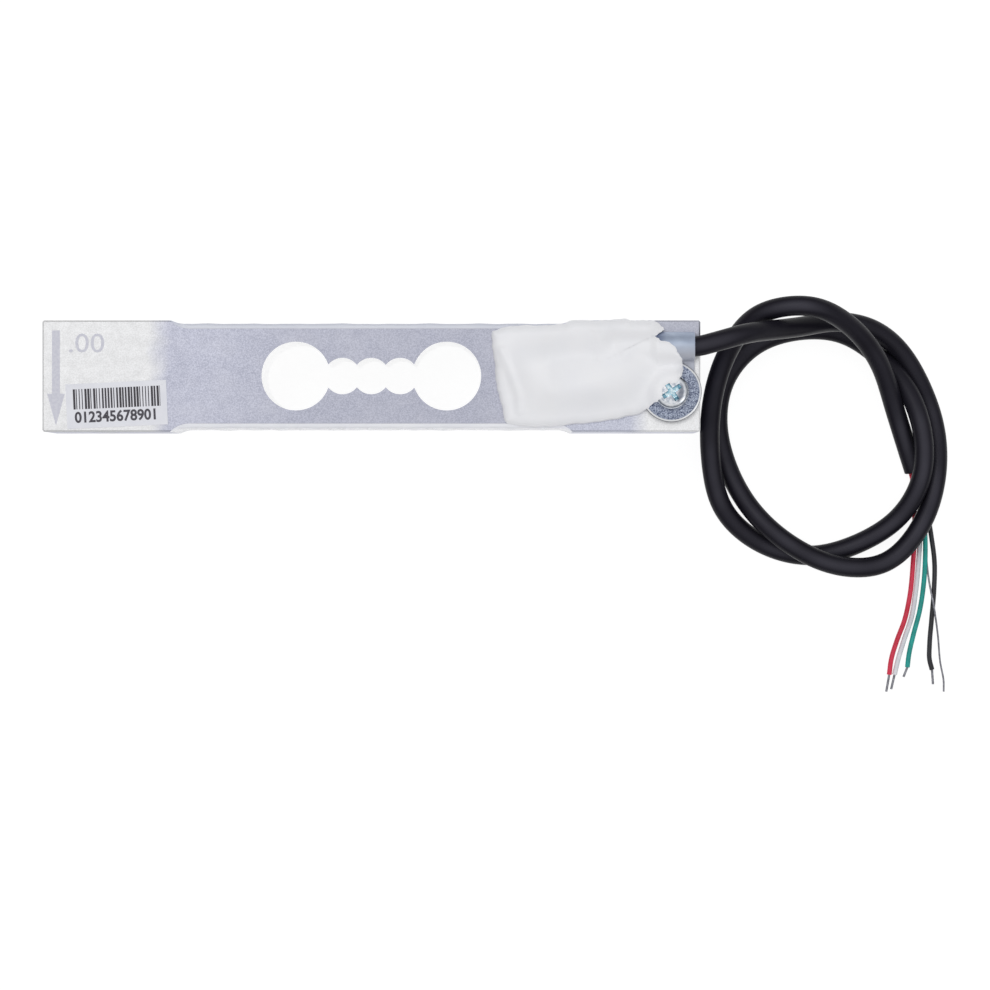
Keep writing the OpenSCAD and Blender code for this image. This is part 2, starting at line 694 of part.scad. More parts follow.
// Side view of the clip, grown by a gap, with the cable's space filled in
module clip_outline(gap = 0, under = 0) {
    r = clip_outer_r + gap;
    translate([cable_y, cable_z]) circle(r = r);
    translate([cable_y - r, body_width - under]) square([2 * r, cable_z - body_width + under]);
    translate([screw_y - clip_toe - gap, body_width - under])
        square([cable_y - screw_y + clip_toe, clip_t + gap + under]);
}

module clip_profile() {
    difference() {
        clip_outline();
        translate([cable_y, cable_z]) circle(r = clip_inner_r);
        translate([cable_y - clip_inner_r, body_width - past])
            square([2 * clip_inner_r, cable_z - body_width + past]);
    }
}

module cable_clip() {
    color([0.62, 0.68, 0.74])
        difference() {
            translate([clip_x - clip_width / 2, 0, 0])
                rotate([90, 0, 90]) linear_extrude(clip_width) clip_profile();
            translate([screw_x, screw_y, body_width - past])
                cylinder(d = clip_hole_d, h = clip_t + 2 * past);
        }
}

module clip_washer() {
    rim_h = washer_t - washer_chamfer / 2;
    face_d = washer_d - 2 * washer_chamfer;
    color([0.66, 0.7, 0.76])
        translate([screw_x, screw_y, washer_z])
            difference() {
                union() {
                    cylinder(d = washer_d, h = rim_h, $fn = 96);
                    translate([0, 0, rim_h])
                        cylinder(d1 = washer_d, d2 = face_d, h = washer_chamfer / 2, $fn = 96);
                }
                translate([0, 0, -past]) cylinder(d = clip_hole_d, h = washer_t + 2 * past);
            }
}

module clip_screw() {
    r = head_d / 2;
    color([0.72, 0.74, 0.77])
        translate([screw_x, screw_y, head_z]) {
            difference() {
                rotate_extrude($fn = 96)
                    intersection() {
                        square([r, head_h]);
                        union() {
                            square([r, head_h - head_edge_r]);
                            square([r - head_edge_r, head_h]);
                            translate([r - head_edge_r, head_h - head_edge_r]) circle(r = head_edge_r);
                        }
                    }
                rotate([0, 0, cross_turn])
                    for (turn = [0, 90])
                        rotate([0, 0, turn])
                            translate([-cross_length / 2, -cross_width / 2, head_h - cross_depth])
                                cube([cross_length, cross_width, cross_depth + past]);
            }
            translate([0, 0, -screw_length]) cylinder(d = screw_d, h = screw_length);
        }
}

module label() {
    color([0.95, 0.95, 0.95])
        translate([label_from_end - half_length, -label_below, body_width])
            rotate([0, 0, label_turn])
                translate([-label_length / 2, -label_width / 2, 0])
                    cube([label_length, label_width, label_t]);
}

module cable_sheath() { color([0.12, 0.12, 0.14]) tube(sheath_route, cable_d, 10); }
module red_wire() { color([0.86, 0.2, 0.35]) tube(red_route, wire_d, 8); }
module white_wire() { color([0.88, 0.88, 0.92]) tube(white_route, wire_d, 8); }
module green_wire() { color([0.1, 0.6, 0.55]) tube(green_route, wire_d, 8); }
module black_wire() { color([0.1, 0.1, 0.12]) tube(black_route, wire_d, 8); }
module drain_wire() { color([0.6, 0.6, 0.62]) tube(drain_route, drain_d, 8); }

// Bare strands past the end of a wire's insulation
module bare_tip(route, tip_end) {
    end = route[len(route) - 1];
    color([0.7, 0.7, 0.72])
        tube([end, end + tip_d * unit(end - route[len(route) - 2]), tip_end], tip_d, 12);
}

module red_tip() { bare_tip(red_route, red_tip_end); }
module white_tip() { bare_tip(white_route, white_tip_end); }
module green_tip() { bare_tip(green_route, green_tip_end); }
module black_tip() { bare_tip(black_route, black_tip_end); }

spring_body();
gauge_top_load_end();
gauge_top_cable_end();
gauge_bottom_load_end();
gauge_bottom_cable_end();
top_gauge_leads();
bottom_gauge_leads();
top_seal();
bottom_seal();
terminal_board();
zero_resistor();
span_resistor();
solder_joints();
red_core();
white_core();
green_core();
black_core();
potting();
cable_clip();
clip_washer();
clip_screw();
label();
cable_sheath();
red_wire();
white_wire();
green_wire();
black_wire();
red_tip();
white_tip();
green_tip();
black_tip();
drain_wire();
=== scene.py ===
import math
import bpy
import bmesh
import numpy as np
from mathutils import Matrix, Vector


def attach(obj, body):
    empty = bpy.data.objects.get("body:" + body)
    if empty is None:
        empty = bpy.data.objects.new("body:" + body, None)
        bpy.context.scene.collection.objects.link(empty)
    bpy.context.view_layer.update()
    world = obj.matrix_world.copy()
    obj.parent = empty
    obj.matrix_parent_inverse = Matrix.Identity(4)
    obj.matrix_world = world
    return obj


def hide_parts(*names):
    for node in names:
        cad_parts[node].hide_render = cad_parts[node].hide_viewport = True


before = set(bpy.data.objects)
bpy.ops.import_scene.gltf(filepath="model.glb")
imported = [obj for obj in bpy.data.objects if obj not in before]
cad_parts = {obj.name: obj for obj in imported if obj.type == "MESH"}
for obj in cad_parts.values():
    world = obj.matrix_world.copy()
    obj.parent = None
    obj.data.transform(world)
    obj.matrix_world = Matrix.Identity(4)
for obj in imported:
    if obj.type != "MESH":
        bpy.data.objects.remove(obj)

scene = bpy.context.scene
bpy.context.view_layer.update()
mm = 0.001

# camera: straight over the beam, as the photo was taken, 1 m above the beam's upper side
photo = {"x": 24.43, "y": -23.5, "aboveBeam": 1000.0, "viewWidth": 195.57, "beamTop": 30.0}
cameraData = bpy.data.cameras.new("photoCamera")
cameraData.sensor_width = 36.0
cameraData.lens = 36.0 * photo["aboveBeam"] / photo["viewWidth"]
cameraData.clip_start, cameraData.clip_end = 0.05, 20.0
camera = bpy.data.objects.new("photoCamera", cameraData)
camera.location = (photo["x"] * mm, photo["y"] * mm, (photo["beamTop"] + photo["aboveBeam"]) * mm)
scene.collection.objects.link(camera)
scene.camera = camera
print("camera made")


# shapes

# Doubles are merged and the normals worked out again, so that a closed shell faces outwards
def closeMesh(mesh):
    work = bmesh.new()
    work.from_mesh(mesh)
    bmesh.ops.remove_doubles(work, verts=work.verts, dist=1e-7)
    bmesh.ops.recalc_face_normals(work, faces=work.faces)
    work.to_mesh(mesh)
    work.free()


# Points given in millimetres and their faces become a piece of the object in metres
def makePiece(name, points, faces, smoothAngle=0.6):
    mesh = bpy.data.meshes.new(name)
    mesh.from_pydata((np.asarray(points, dtype=float) * mm).tolist(), [], [list(f) for f in faces])
    closeMesh(mesh)
    mesh.update()
    mesh.polygons.foreach_set("use_smooth", np.ones(len(mesh.polygons), dtype=bool))
    mesh.set_sharp_from_angle(angle=smoothAngle)
    piece = bpy.data.objects.new(name, mesh)
    scene.collection.objects.link(piece)
    return piece


# Faces of a grid of rows by columns: point (i, j) joins (i, j+1), (i+1, j+1) and (i+1, j)
def gridFaces(rows, columns, wrapRows=False, wrapColumns=False):
    i = np.arange(rows if wrapRows else rows - 1)[:, None]
    j = np.arange(columns if wrapColumns else columns - 1)[None, :]
    iNext, jNext = (i + 1) % rows, (j + 1) % columns
    quads = np.stack([i * columns + j, i * columns + jNext,
                      iNext * columns + jNext, iNext * columns + j], axis=-1)
    return quads.reshape(-1, 4).tolist()


# A stack of closed rings, shape (rings, count, 3), with both ends closed on a middle point
def ringShell(rings):
    rings = np.asarray(rings, dtype=float)
    rows, count = rings.shape[:2]
    points = np.concatenate([rings.reshape(-1, 3), [rings[0].mean(axis=0), rings[-1].mean(axis=0)]])
    k = np.arange(count)
    last = (rows - 1) * count
    startFan = np.stack([(k + 1) % count, k, np.full(count, rows * count)], axis=-1).tolist()
    endFan = np.stack([last + k, last + (k + 1) % count, np.full(count, rows * count + 1)], axis=-1).tolist()
    return points, gridFaces(rows, count, wrapColumns=True) + startFan + endFan


# A thin shell from a grid of points, shape (rows, columns, 3), and the same grid under it, with walls
# between their rims
def sheetShell(top, under):
    rows, columns = top.shape[:2]
    rim = np.concatenate([np.arange(columns), np.arange(1, rows) * columns + columns - 1,
                          (rows - 1) * columns + np.arange(columns - 2, -1, -1),
                          np.arange(rows - 2, 0, -1) * columns])
    rimNext, count = np.roll(rim, -1), rows * columns
    walls = np.stack([rim, rimNext, rimNext + count, rim + count], axis=-1).tolist()
    topFaces = gridFaces(rows, columns)
    underFaces = (np.asarray(topFaces)[:, ::-1] + count).tolist()
    return np.concatenate([top.reshape(-1, 3), under.reshape(-1, 3)]), topFaces + underFaces + walls


# Smooth line through route points. With h the gap between two points and m the slope at each,
# p(t) = (2t^3-3t^2+1)p0 + (t^3-2t^2+t)h m0 + (3t^2-2t^3)p1 + (t^3-t^2)h m1, and the slope at a point
# is the mean of the slopes on both sides of it, each weighted by the gap on the other side
def smoothLine(route, spacing):
    p = np.asarray(route, dtype=float)
    gap = np.linalg.norm(np.diff(p, axis=0), axis=1)[:, None]
    slope = np.diff(p, axis=0) / gap
    inner = (slope[1:] * gap[:-1] + slope[:-1] * gap[1:]) / (gap[1:] + gap[:-1])
    m = np.concatenate([slope[:1], inner, slope[-1:]])
    steps = np.maximum(2, np.round(gap[:, 0] / spacing)).astype(int)
    which = np.repeat(np.arange(len(steps)), steps)
    t = (np.arange(len(which)) - np.repeat(np.cumsum(steps) - steps, steps)) / np.repeat(steps, steps)
    t, h = t[:, None], gap[which]
    line = ((2 * t**3 - 3 * t**2 + 1) * p[which] + (t**3 - 2 * t**2 + t) * h * m[which]
            + (3 * t**2 - 2 * t**3) * p[which + 1] + (t**3 - t**2) * h * m[which + 1])
    return np.concatenate([line, p[-1:]])


# Directions square to a line whose slope is forward: sideways is level, upwards is forward x sideways
def lineFrame(line):
    forward = np.gradient(line, axis=0)
    forward /= np.linalg.norm(forward, axis=1)[:, None]
    sideways = np.cross([0.0, 0.0, 1.0], forward)
    sideways /= np.linalg.norm(sideways, axis=1)[:, None]
    return sideways, np.cross(forward, sideways)


# Tube: point(s, a) = line(s) + r(s, a) (cos a * sideways + sin a * upwards)
def tubeRings(line, radius, sides):
    sideways, upwards = lineFrame(line)
    a = np.linspace(0, 2 * np.pi, sides, endpoint=False)
    arc = np.concatenate([[0.0], np.cumsum(np.linalg.norm(np.diff(line, axis=0), axis=1))])
    r = radius(arc[:, None], a[None, :]) if callable(radius) else radius
    r = np.broadcast_to(r, (len(line), sides))
    around = (np.cos(a)[None, :, None] * sideways[:, None, :]
              + np.sin(a)[None, :, None] * upwards[:, None, :])
    return line[:, None, :] + r[:, :, None] * around, arc, a


# Rings set into the far end of a tube: the radius shrinks to inner, then goes back in by depth
def cutEnd(rings, line, inner, depth, swell=0.04):
    edge, middle = rings[-1], line[-1]
    inward = line[-4] - line[-1]
    inward = inward / np.linalg.norm(inward)
    rounded = middle + (edge - middle) * 0.97 - inward * swell
    lipRing = middle + (edge - middle) * inner - inward * swell
    floorRing = middle + (edge - middle) * inner + inward * depth
    return np.concatenate([rings, [rounded, lipRing, floorRing]])


# Smooth random surface from a few sine waves in different directions: the mean of
# sin(fx x + fy y + phase), with lengths between longest and longest / 4
def waves(x, y, longest, seed, count=9):
    pick = np.random.default_rng(seed)
    angle, phase = pick.uniform(0, 2 * np.pi, count), pick.uniform(0, 2 * np.pi, count)
    rate = 2 * np.pi / (longest / pick.uniform(1, 4, count))
    total = np.zeros(np.broadcast(x, y).shape)
    for turn, shift, speed in zip(angle, phase, rate):
        total += np.sin(speed * (np.cos(turn) * x + np.sin(turn) * y) + shift) / count**0.5
    return total


# 0 up to low and 1 from high, with 3 t^2 - 2 t^3 between them
def smoothStep(low, high, value):
    t = np.clip((value - low) / (high - low), 0, 1)
    return t * t * (3 - 2 * t)


# materials

# A material with one shader; sockets that are the same all over are set on it directly
def newFinish(name, color, roughness, metallic=0.0, **sockets):
    material = bpy.data.materials.new(name)
    material.use_nodes = True
    shader = material.node_tree.nodes["Principled BSDF"]
    shader.inputs["Base Color"].default_value = (*color, 1.0)
    shader.inputs["Roughness"].default_value = roughness
    shader.inputs["Metallic"].default_value = metallic
    for socket, value in sockets.items():
        shader.inputs[socket.replace("_", " ")].default_value = value
    return material


# Short ways to add nodes to a material. Sizes of noise, bump, fade, nearTo and placed are in mm
class Nodes:
    def __init__(self, material):
        self.tree = material.node_tree
        self.shader = self.tree.nodes["Principled BSDF"]
        self.coordinates = self.tree.nodes.new("ShaderNodeTexCoord")

    def add(self, kind, inputs=(), **settings):
        made = self.tree.nodes.new("ShaderNode" + kind)
        for key, value in settings.items():
            setattr(made, key, value)
        for socket, value in dict(inputs).items():
            self.put(made.inputs[socket], value)
        return made

    def put(self, socket, value):
        if hasattr(value, "is_output"):
            self.tree.links.new(value, socket)
        else:
            socket.default_value = value

    def math(self, operation, a, b=0.0, clamp=False):
        made = self.add("Math", {0: a, 1: b}, operation=operation)
        made.use_clamp = clamp
        return made.outputs[0]

    def product(self, first, *others):
        for other in others:
            first = self.math("MULTIPLY", first, other)
        return first

    def length(self, a, b):
        return self.math("SQRT", self.math("ADD", self.math("MULTIPLY", a, a), self.math("MULTIPLY", b, b)))

    # Noise on Object coordinates; size is the length of one blotch in mm, stretch squeezes it per axis
    def noise(self, size, detail=2.0, stretch=(1, 1, 1)):
        place = self.add("Mapping", {"Vector": self.coordinates.outputs["Object"], "Scale": stretch})
        made = self.add("TexNoise", {"Vector": place.outputs[0], "Scale": 1.0 / (size * mm),
                                     "Detail": detail})
        return made.outputs[0]

    def ramp(self, value, low, high, fromColor, toColor):
        made = self.add("MapRange", {"Value": value, "From Min": low, "From Max": high},
                        interpolation_type="SMOOTHSTEP")
        return self.mix(made.outputs[0], fromColor, toColor)

    def mix(self, factor, a, b, blend="MIX"):
        made = self.add("Mix", data_type="RGBA", blend_type=blend)
        self.put(made.inputs[0], factor)
        self.put(made.inputs[6], a if hasattr(a, "is_output") else (*a, 1.0))
        self.put(made.inputs[7], b if hasattr(b, "is_output") else (*b, 1.0))
        return made.outputs[2]

    def range(self, value, low, high, outLow=0.0, outHigh=1.0):
        made = self.add("MapRange", {"Value": value, "From Min": low, "From Max": high,
                                     "To Min": outLow, "To Max": outHigh})
        return made.outputs[0]

    # 0 at start and 1 at end, both in mm
    def fade(self, value, start, end):
        return self.range(value, start * mm, end * mm)

    # 1 where a place is less than reach away from middle, both in mm
    def nearTo(self, value, middle, reach):
        off = self.math("SUBTRACT", value, middle * mm) if middle else value
        return self.math("LESS_THAN", self.math("ABSOLUTE", off), reach * mm)

    # Place on a piece that is moved to (x, y) in mm and turned about the upright axis
    def placed(self, x, y, turn):
        made = self.add("Mapping", {"Vector": self.coordinates.outputs["Object"],
                                    "Location": (x * mm, y * mm, 0),
                                    "Rotation": (0, 0, math.radians(turn))}, vector_type="TEXTURE")
        return self.axes(made.outputs[0])[:2]

    def axes(self, vector=None):
        made = self.add("SeparateXYZ", {0: vector or self.coordinates.outputs["Object"]})
        return made.outputs[0], made.outputs[1], made.outputs[2]

    def bump(self, height, distance, strength=1.0, after=None):
        made = self.add("Bump", {"Height": height, "Distance": distance * mm, "Strength": strength})
        if after is not None:
            self.put(made.inputs["Normal"], after)
        self.put(self.shader.inputs["Normal"], made.outputs[0])
        return made.outputs[0]

    def color(self, value):
        self.put(self.shader.inputs["Base Color"], value)

    def rough(self, value):
        self.put(self.shader.inputs["Roughness"], value)


def dress(piece, material):
    piece.data.materials.clear()
    piece.data.materials.append(material)


def addPiece(piece, material, replaced=()):
    dress(piece, material)
    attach(piece, "root")
    if replaced:
        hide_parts(*replaced)
    return piece


def dressNode(name, material):
    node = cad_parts[name]
    for k in range(len(node.material_slots)):
        node.material_slots[k].material = material


# cable and wires

cable = {"diameter": 4.0, "y": 5.8, "z": 32.0, "spacing": 0.9, "sides": 28, "inner": 0.72, "cutDepth": 0.7,
         "inClip": (55, 60), "exitX": 64, "freeFrom": 66.0, "evening": 20}
sheathRoute = [
    (49.5, 5.8, 32), (64, 5.8, 32), (69, 7, 31.5), (74, 8.5, 28.5), (79.5, 9.3, 23),
    (86, 10.2, 17), (93, 11.5, 10.5), (100, 10.5, 7.5), (106.5, 6, 3.5), (111, -1.5, 2.5),
    (114, -10.5, 2), (114, -20, 3.5), (111, -29.5, 4.1), (103.5, -37.5, 4.6), (94, -38, 6),
    (85.5, -34.5, 6.2), (77.5, -28, 5.5), (72, -19, 2.5), (69.5, -9, 2), (71, 0, 2),
    (77, 7, 2), (86, 10, 2), (95, 9.5, 2), (102.5, 4.5, 2.5), (108.2, -2.5, 5.9),
    (111, -11, 7), (111, -19.5, 6.5), (106.5, -28, 4.5), (98, -33.5, 2.5), (88.5, -36, 2),
    (78.5, -33.5, 2.5), (70.5, -26.5, 4.5), (68, -16, 6.5), (68, -6, 8.5), (71, 5, 13),
    (78, 13.2, 21), (87, 14.3, 23), (95.5, 10.5, 17), (102, 3, 10.5), (105.3, -6, 5.3),
    (109.5, -18.5, 2),
]
wire = {"diameter": 1.0, "bundle": 0.75, "spacing": 0.5, "sides": 20, "inner": 0.52, "cutDepth": 0.1}
tip = {"diameter": 0.5, "inside": 0.25, "pitch": 2.2, "spacing": 0.12, "sides": 28}
drain = {"diameter": 0.4, "pitch": 2.4, "spacing": 0.16, "sides": 21}
strandCount = 7
wireRoutes = {
    "red": ((-1, 0), (104, -63.5, 0.5), [
        (109.4, -22.5, 1), (109.7, -26.5, 0.5), (109.8, -31, 0.5), (109.5, -36.5, 0.5), (108.7, -44.5, 0.5),
        (107.7, -49, 0.5), (106.2, -53, 0.5), (105, -57, 0.5), (104.6, -60, 0.5)]),
    "white": ((0, -1), (105, -63, 0.5), [
        (110.4, -22.5, 0.6), (110.8, -26.3, 0.5), (110.9, -31, 0.5), (110.6, -36.5, 0.5), (110, -43, 0.5),
        (109.1, -48.5, 0.5), (107.6, -53, 0.5), (106.4, -57, 0.5), (105.7, -60, 0.5)]),
    "green": ((0, 1), (107.5, -60.5, 0.5), [
        (110.7, -22.5, 1.8), (111.4, -26.5, 1.4), (111.8, -31, 1.3), (111.9, -35.5, 1), (111.7, -40.5, 0.6),
        (110.8, -47, 0.5), (109.5, -52, 0.5), (108.6, -56, 0.5), (108.3, -58.5, 0.5)]),
    "black": ((1, 0), (113.5, -62, 0.5), [
        (111.8, -22.5, 0.7), (112.3, -26.5, 0.5), (113.1, -31.5, 0.5), (113.8, -37, 0.5), (113.7, -43, 0.5),
        (113.2, -49, 0.5), (112.8, -54, 0.5), (112.8, -57, 0.5), (113.3, -59, 0.5)]),
}
drainRoute = [
    (111.1, -22.5, 1.1), (111.53, -26.5, 0.4), (111.7, -31, 0.2), (112.1, -35.5, 0.2), (112.7, -41, 0.5),
    (113.5, -45.5, 1.4), (114.5, -52, 0.4), (115, -57.5, 0.2), (115.7, -61.5, 0.2), (115.7, -63.5, 0.2)]


# First two points of a wire: the sheath's end plus its place in the bundle, and one diameter further
def leavingPoints(place):
    end, before = np.array(sheathRoute[-1], dtype=float), np.array(sheathRoute[-2], dtype=float)
    forward = (end - before) / np.linalg.norm(end - before)
    side = np.cross([0.0, 0.0, 1.0], forward)
    side /= np.linalg.norm(side)
    start = end + wire["bundle"] * wire["diameter"] * (place[0] * side + place[1] * np.cross(forward, side))
    return [start, start + wire["diameter"] * forward]


# Twisted strands: r(s, a) = R (0.9 + 0.1 |cos(n (a - 2 pi s / pitch) / 2)|)
def strandRadius(radius, pitch):
    return lambda s, a: radius * (0.9 + 0.1 * np.abs(np.cos(strandCount * (a - 2 * np.pi * s / pitch) / 2)))


# Cord: a tube along its line, cut hollow at the far end where hollow gives (inner radius share, depth)
def makeCord(name, line, radius, sides, material, nodes,
             hollow=None):
    rings, arc, turn = tubeRings(line, radius, sides)
    if hollow:
        rings = cutEnd(rings, line, hollow[0], hollow[1])
    points, faces = ringShell(rings)
    made = addPiece(makePiece(name, points, faces), material, nodes)
    widest = float(np.max(radius(arc[:, None], turn[None, :]))) if callable(radius) else radius


# sheath: a painted highlight makes it lighter along its upper side, by the normal's height
sheathFinish = newFinish("sheathBlack", (0.015, 0.014, 0.021), 0.32, Specular_IOR_Level=0.08)
n = Nodes(sheathFinish)
n.bump(n.noise(0.6, 3), 0.01, 0.25)
dull = n.ramp(n.noise(9, 2), 0.35, 0.65, (0.010, 0.009, 0.014), (0.014, 0.013, 0.019))
upwards = n.axes(n.coordinates.outputs["Normal"])[2]
# painted highlight: a lighter stripe where the sheath faces up, broken up by noise
highlightStripe = n.math("POWER", n.range(upwards, 0.72, 1.0), 1.6)
paintedHighlight = n.product(highlightStripe, n.range(n.noise(16, 2), 0.35, 0.62, 0.30, 1.0))
n.color(n.mix(paintedHighlight, dull, (0.052, 0.050, 0.064)))
n.rough(n.range(n.noise(5, 2), 0.3, 0.7, 0.30, 0.38))

wireFinishes = {}
for key, low, high in (
    ("red", (0.62, 0.012, 0.045), (0.74, 0.03, 0.08)),
    ("white", (0.72, 0.72, 0.76), (0.82, 0.82, 0.85)),
    ("green", (0.004, 0.29, 0.25), (0.008, 0.38, 0.33)),
    ("black", (0.012, 0.012, 0.015), (0.020, 0.020, 0.026)),
):
    finish = newFinish("wire" + key.capitalize(), high, 0.38, Specular_IOR_Level=0.5)
    n = Nodes(finish)
    n.color(n.ramp(n.noise(2.5, 2), 0.35, 0.65, low, high))
    n.bump(n.noise(0.4, 2), 0.01, 0.4)
    wireFinishes[key] = finish

tinnedFinish = newFinish("tinnedStrands", (0.27, 0.27, 0.30), 0.35, 1.0)
n = Nodes(tinnedFinish)
n.color(n.ramp(n.noise(0.5, 2), 0.35, 0.65, (0.21, 0.21, 0.235), (0.32, 0.32, 0.35)))
n.rough(n.range(n.noise(0.3, 2), 0.3, 0.7, 0.30, 0.42))

for key, (place, tipEnd, route) in wireRoutes.items():
    innerEnd = route[-1] + (np.array(route[-1]) - tipEnd) * tip["inside"]
    tipLine = smoothLine([innerEnd, route[-1], tipEnd], tip["spacing"])
    rings = tubeRings(tipLine, strandRadius(tip["diameter"] / 2, tip["pitch"]), tip["sides"])[0]
    points, faces = ringShell(rings)
    addPiece(makePiece(key + "TipStrands", points, faces, smoothAngle=1.2), tinnedFinish,
                         [key + "_tip"])

# the straight inside the clip gets two more points, and the line after it is evened out by
# averaging each point with its neighbours
inClip = [(x, cable["y"], cable["z"]) for x in cable["inClip"]]
sheathLine = smoothLine(sheathRoute[:1] + inClip + sheathRoute[1:], cable["spacing"])
free = int(np.argmax(sheathLine[:, 0] > cable["freeFrom"]))
for sweep in range(cable["evening"]):
    sheathLine[free:-1] = (sheathLine[free - 1:-2] + 2 * sheathLine[free:-1] + sheathLine[free + 1:]) / 4
makeCord("cableSheath", sheathLine, cable["diameter"] / 2, cable["sides"], sheathFinish,
         ["cable_sheath"],
         hollow=(cable["inner"], cable["cutDepth"]))
for key, (place, tipEnd, route) in wireRoutes.items():
    line = smoothLine(leavingPoints(place) + [np.array(p, dtype=float) for p in route], wire["spacing"])
    makeCord(key + "Wire", line, wire["diameter"] / 2, wire["sides"], wireFinishes[key],
             [key + "_wire"], hollow=(wire["inner"], wire["cutDepth"]))
drainLine = smoothLine(leavingPoints((0, 0)) + [np.array(p, dtype=float) for p in drainRoute],
                       drain["spacing"])
makeCord("drainWire", drainLine, strandRadius(drain["diameter"] / 2, drain["pitch"]), drain["sides"],
         tinnedFinish, ["drain_wire"])
print("cable and wires made")


# beam: matt milled aluminium, lighter and finer on its end blocks; turned rings in the big bores,
# and a thread in the mounting holes as a triangle wave of (height / pitch + angle / 360 degrees)

beam = {"width": 30.0, "holeX": 53.0, "holeApart": 15.0, "holeRadius": 2.5, "pitch": 1.0, "ringPitch": 0.3,
        "leftBlock": (-40.2, -44.0), "rightBlock": (51.0, 54.8), "unevenEdge": 0.8, "upperStrip": (6.8, 8.0),
        "boresReach": 22.5, "boresHalf": 7.2}
beamFinish = newFinish("beamAluminium", (0.6, 0.62, 0.69), 0.42, 0.9)
n = Nodes(beamFinish)
x, y, z = n.axes()
ny, nz = n.axes(n.coordinates.outputs["Normal"])[1:]
absNz = n.math("ABSOLUTE", nz)
uneven = n.range(n.noise(6, 2), 0.3, 0.7, -beam["unevenEdge"] * mm, beam["unevenEdge"] * mm)
leftBlock = n.fade(n.math("ADD", x, uneven), *beam["leftBlock"])
rightBlock = n.fade(x, *beam["rightBlock"])
blockShare = n.product(n.math("MAXIMUM", leftBlock, rightBlock, clamp=True), n.range(absNz, 0.4, 0.7))
speck = n.noise(0.22, 1)
cloud = n.noise(7, 3, stretch=(1, 1.6, 1))
waist = n.mix(n.range(speck, 0.36, 0.64), (0.405, 0.415, 0.50), (0.555, 0.565, 0.655))
waist = n.mix(n.range(cloud, 0.40, 0.72, 0, 0.22), waist, (0.66, 0.66, 0.72))
# painted light and shade along the beam: painted shade makes the waist darker in the middle, and painted
# light makes the cable end lighter
paintedLightAndShade = n.ramp(x, -35 * mm, -10 * mm, (1.0, 1.0, 1.0), (0.91, 0.91, 0.91))
paintedLightAndShade = n.ramp(x, 20 * mm, 45 * mm, paintedLightAndShade, (1.12, 1.13, 1.12))
waist = n.mix(1.0, waist, paintedLightAndShade, blend="MULTIPLY")
block = n.mix(n.range(speck, 0.35, 0.65), (0.665, 0.665, 0.665), (0.765, 0.765, 0.77))
# painted light: the end blocks get lighter towards the cable end
lighter = n.ramp(x, 0, 30 * mm, (1.0, 1.0, 1.0), (1.19, 1.19, 1.19))
block = n.mix(1.0, block, lighter, blend="MULTIPLY")
# painted shade: a grey-blue strip along the upper edge of the cable end block
paintedShadeStripShare = n.product(n.fade(y, *beam["upperStrip"]), n.math("GREATER_THAN", x, 0.0), 0.8)
paintedShadeStrip = n.mix(n.range(speck, 0.3, 0.7), (0.345, 0.356, 0.445), (0.465, 0.476, 0.565))
block = n.mix(paintedShadeStripShare, block, paintedShadeStrip)
skin = n.mix(blockShare, waist, block)
# the bores' walls are smooth and bright, because they show the pale floor
inBore = n.product(n.nearTo(x, 0, beam["boresReach"]), n.nearTo(y, 0, beam["boresHalf"]),
                   n.math("LESS_THAN", absNz, 0.5))
n.put(n.shader.inputs["Metallic"], n.math("ADD", 0.9, n.math("MULTIPLY", inBore, 0.1)))
n.color(n.mix(inBore, skin, (0.97, 0.97, 0.98)))
n.rough(n.math("SUBTRACT", n.range(n.noise(2.0, 3), 0.3, 0.7, 0.40, 0.47), n.math("MULTIPLY", inBore, 0.3)))
# offsets from the axis of the nearest mounting hole
sideX, lowZ = n.math("SIGN", x), n.math("SUBTRACT", z, 0.5 * beam["width"] * mm)
offX = n.math("SUBTRACT", x, n.math("MULTIPLY", sideX, beam["holeX"] * mm))
offZ = n.math("SUBTRACT", lowZ, n.math("MULTIPLY", n.math("SIGN", lowZ), 0.5 * beam["holeApart"] * mm))
inHole = n.product(n.math("LESS_THAN", n.length(offX, offZ), (beam["holeRadius"] + 0.1) * mm),
                   n.math("LESS_THAN", n.math("ABSOLUTE", ny), 0.5))
turn = n.math("DIVIDE", n.math("ARCTAN2", offZ, offX), 2 * math.pi)
thread = n.math("PINGPONG", n.math("ADD", n.math("DIVIDE", y, beam["pitch"] * mm), turn), 0.5)
cutRings = n.product(n.math("SINE", n.math("MULTIPLY", z, 2 * math.pi / (beam["ringPitch"] * mm))), inBore)
milled = n.bump(n.noise(0.5, 3, stretch=(0.35, 1, 1)), 0.012, 0.6)
ringed = n.bump(cutRings, 0.003, 0.3, after=milled)
n.bump(n.product(thread, 2.0, inHole), 0.5, 1.0, after=ringed)
dressNode("spring_body", beamFinish)

# load arrow and a plain number, printed on the load end: thin flat pieces just over the beam
arrow = {"x": -62.3, "top": 9.0, "neck": -3.5, "tip": -9.8, "shaft": 1.57, "head": 3.5}
rating = {"middle": (-56.3, 6.3), "size": 5.35, "squeeze": 1.14}
inkThickness = 0.02
markFinish = newFinish("markInk", (0.70, 0.70, 0.775), 0.6)
n = Nodes(markFinish)
n.color(n.ramp(n.noise(0.5, 3), 0.35, 0.65, (0.665, 0.665, 0.745), (0.735, 0.735, 0.80)))
n.bump(n.noise(0.3, 2), 0.01, 0.3)


# A flat outline lifted to a thin plate with its underside on z = low and its top on z = low + height
def thinPlate(outline, low, height):
    count = len(outline)
    flat = np.asarray(outline, dtype=float)
    points = np.concatenate([np.c_[flat, np.full(count, low)], np.c_[flat, np.full(count, low + height)]])
    k = np.arange(count)
    walls = np.stack([k, (k + 1) % count, (k + 1) % count + count, k + count], axis=-1).tolist()
    return points, walls + [list(range(count))[::-1], list(range(count, 2 * count))]


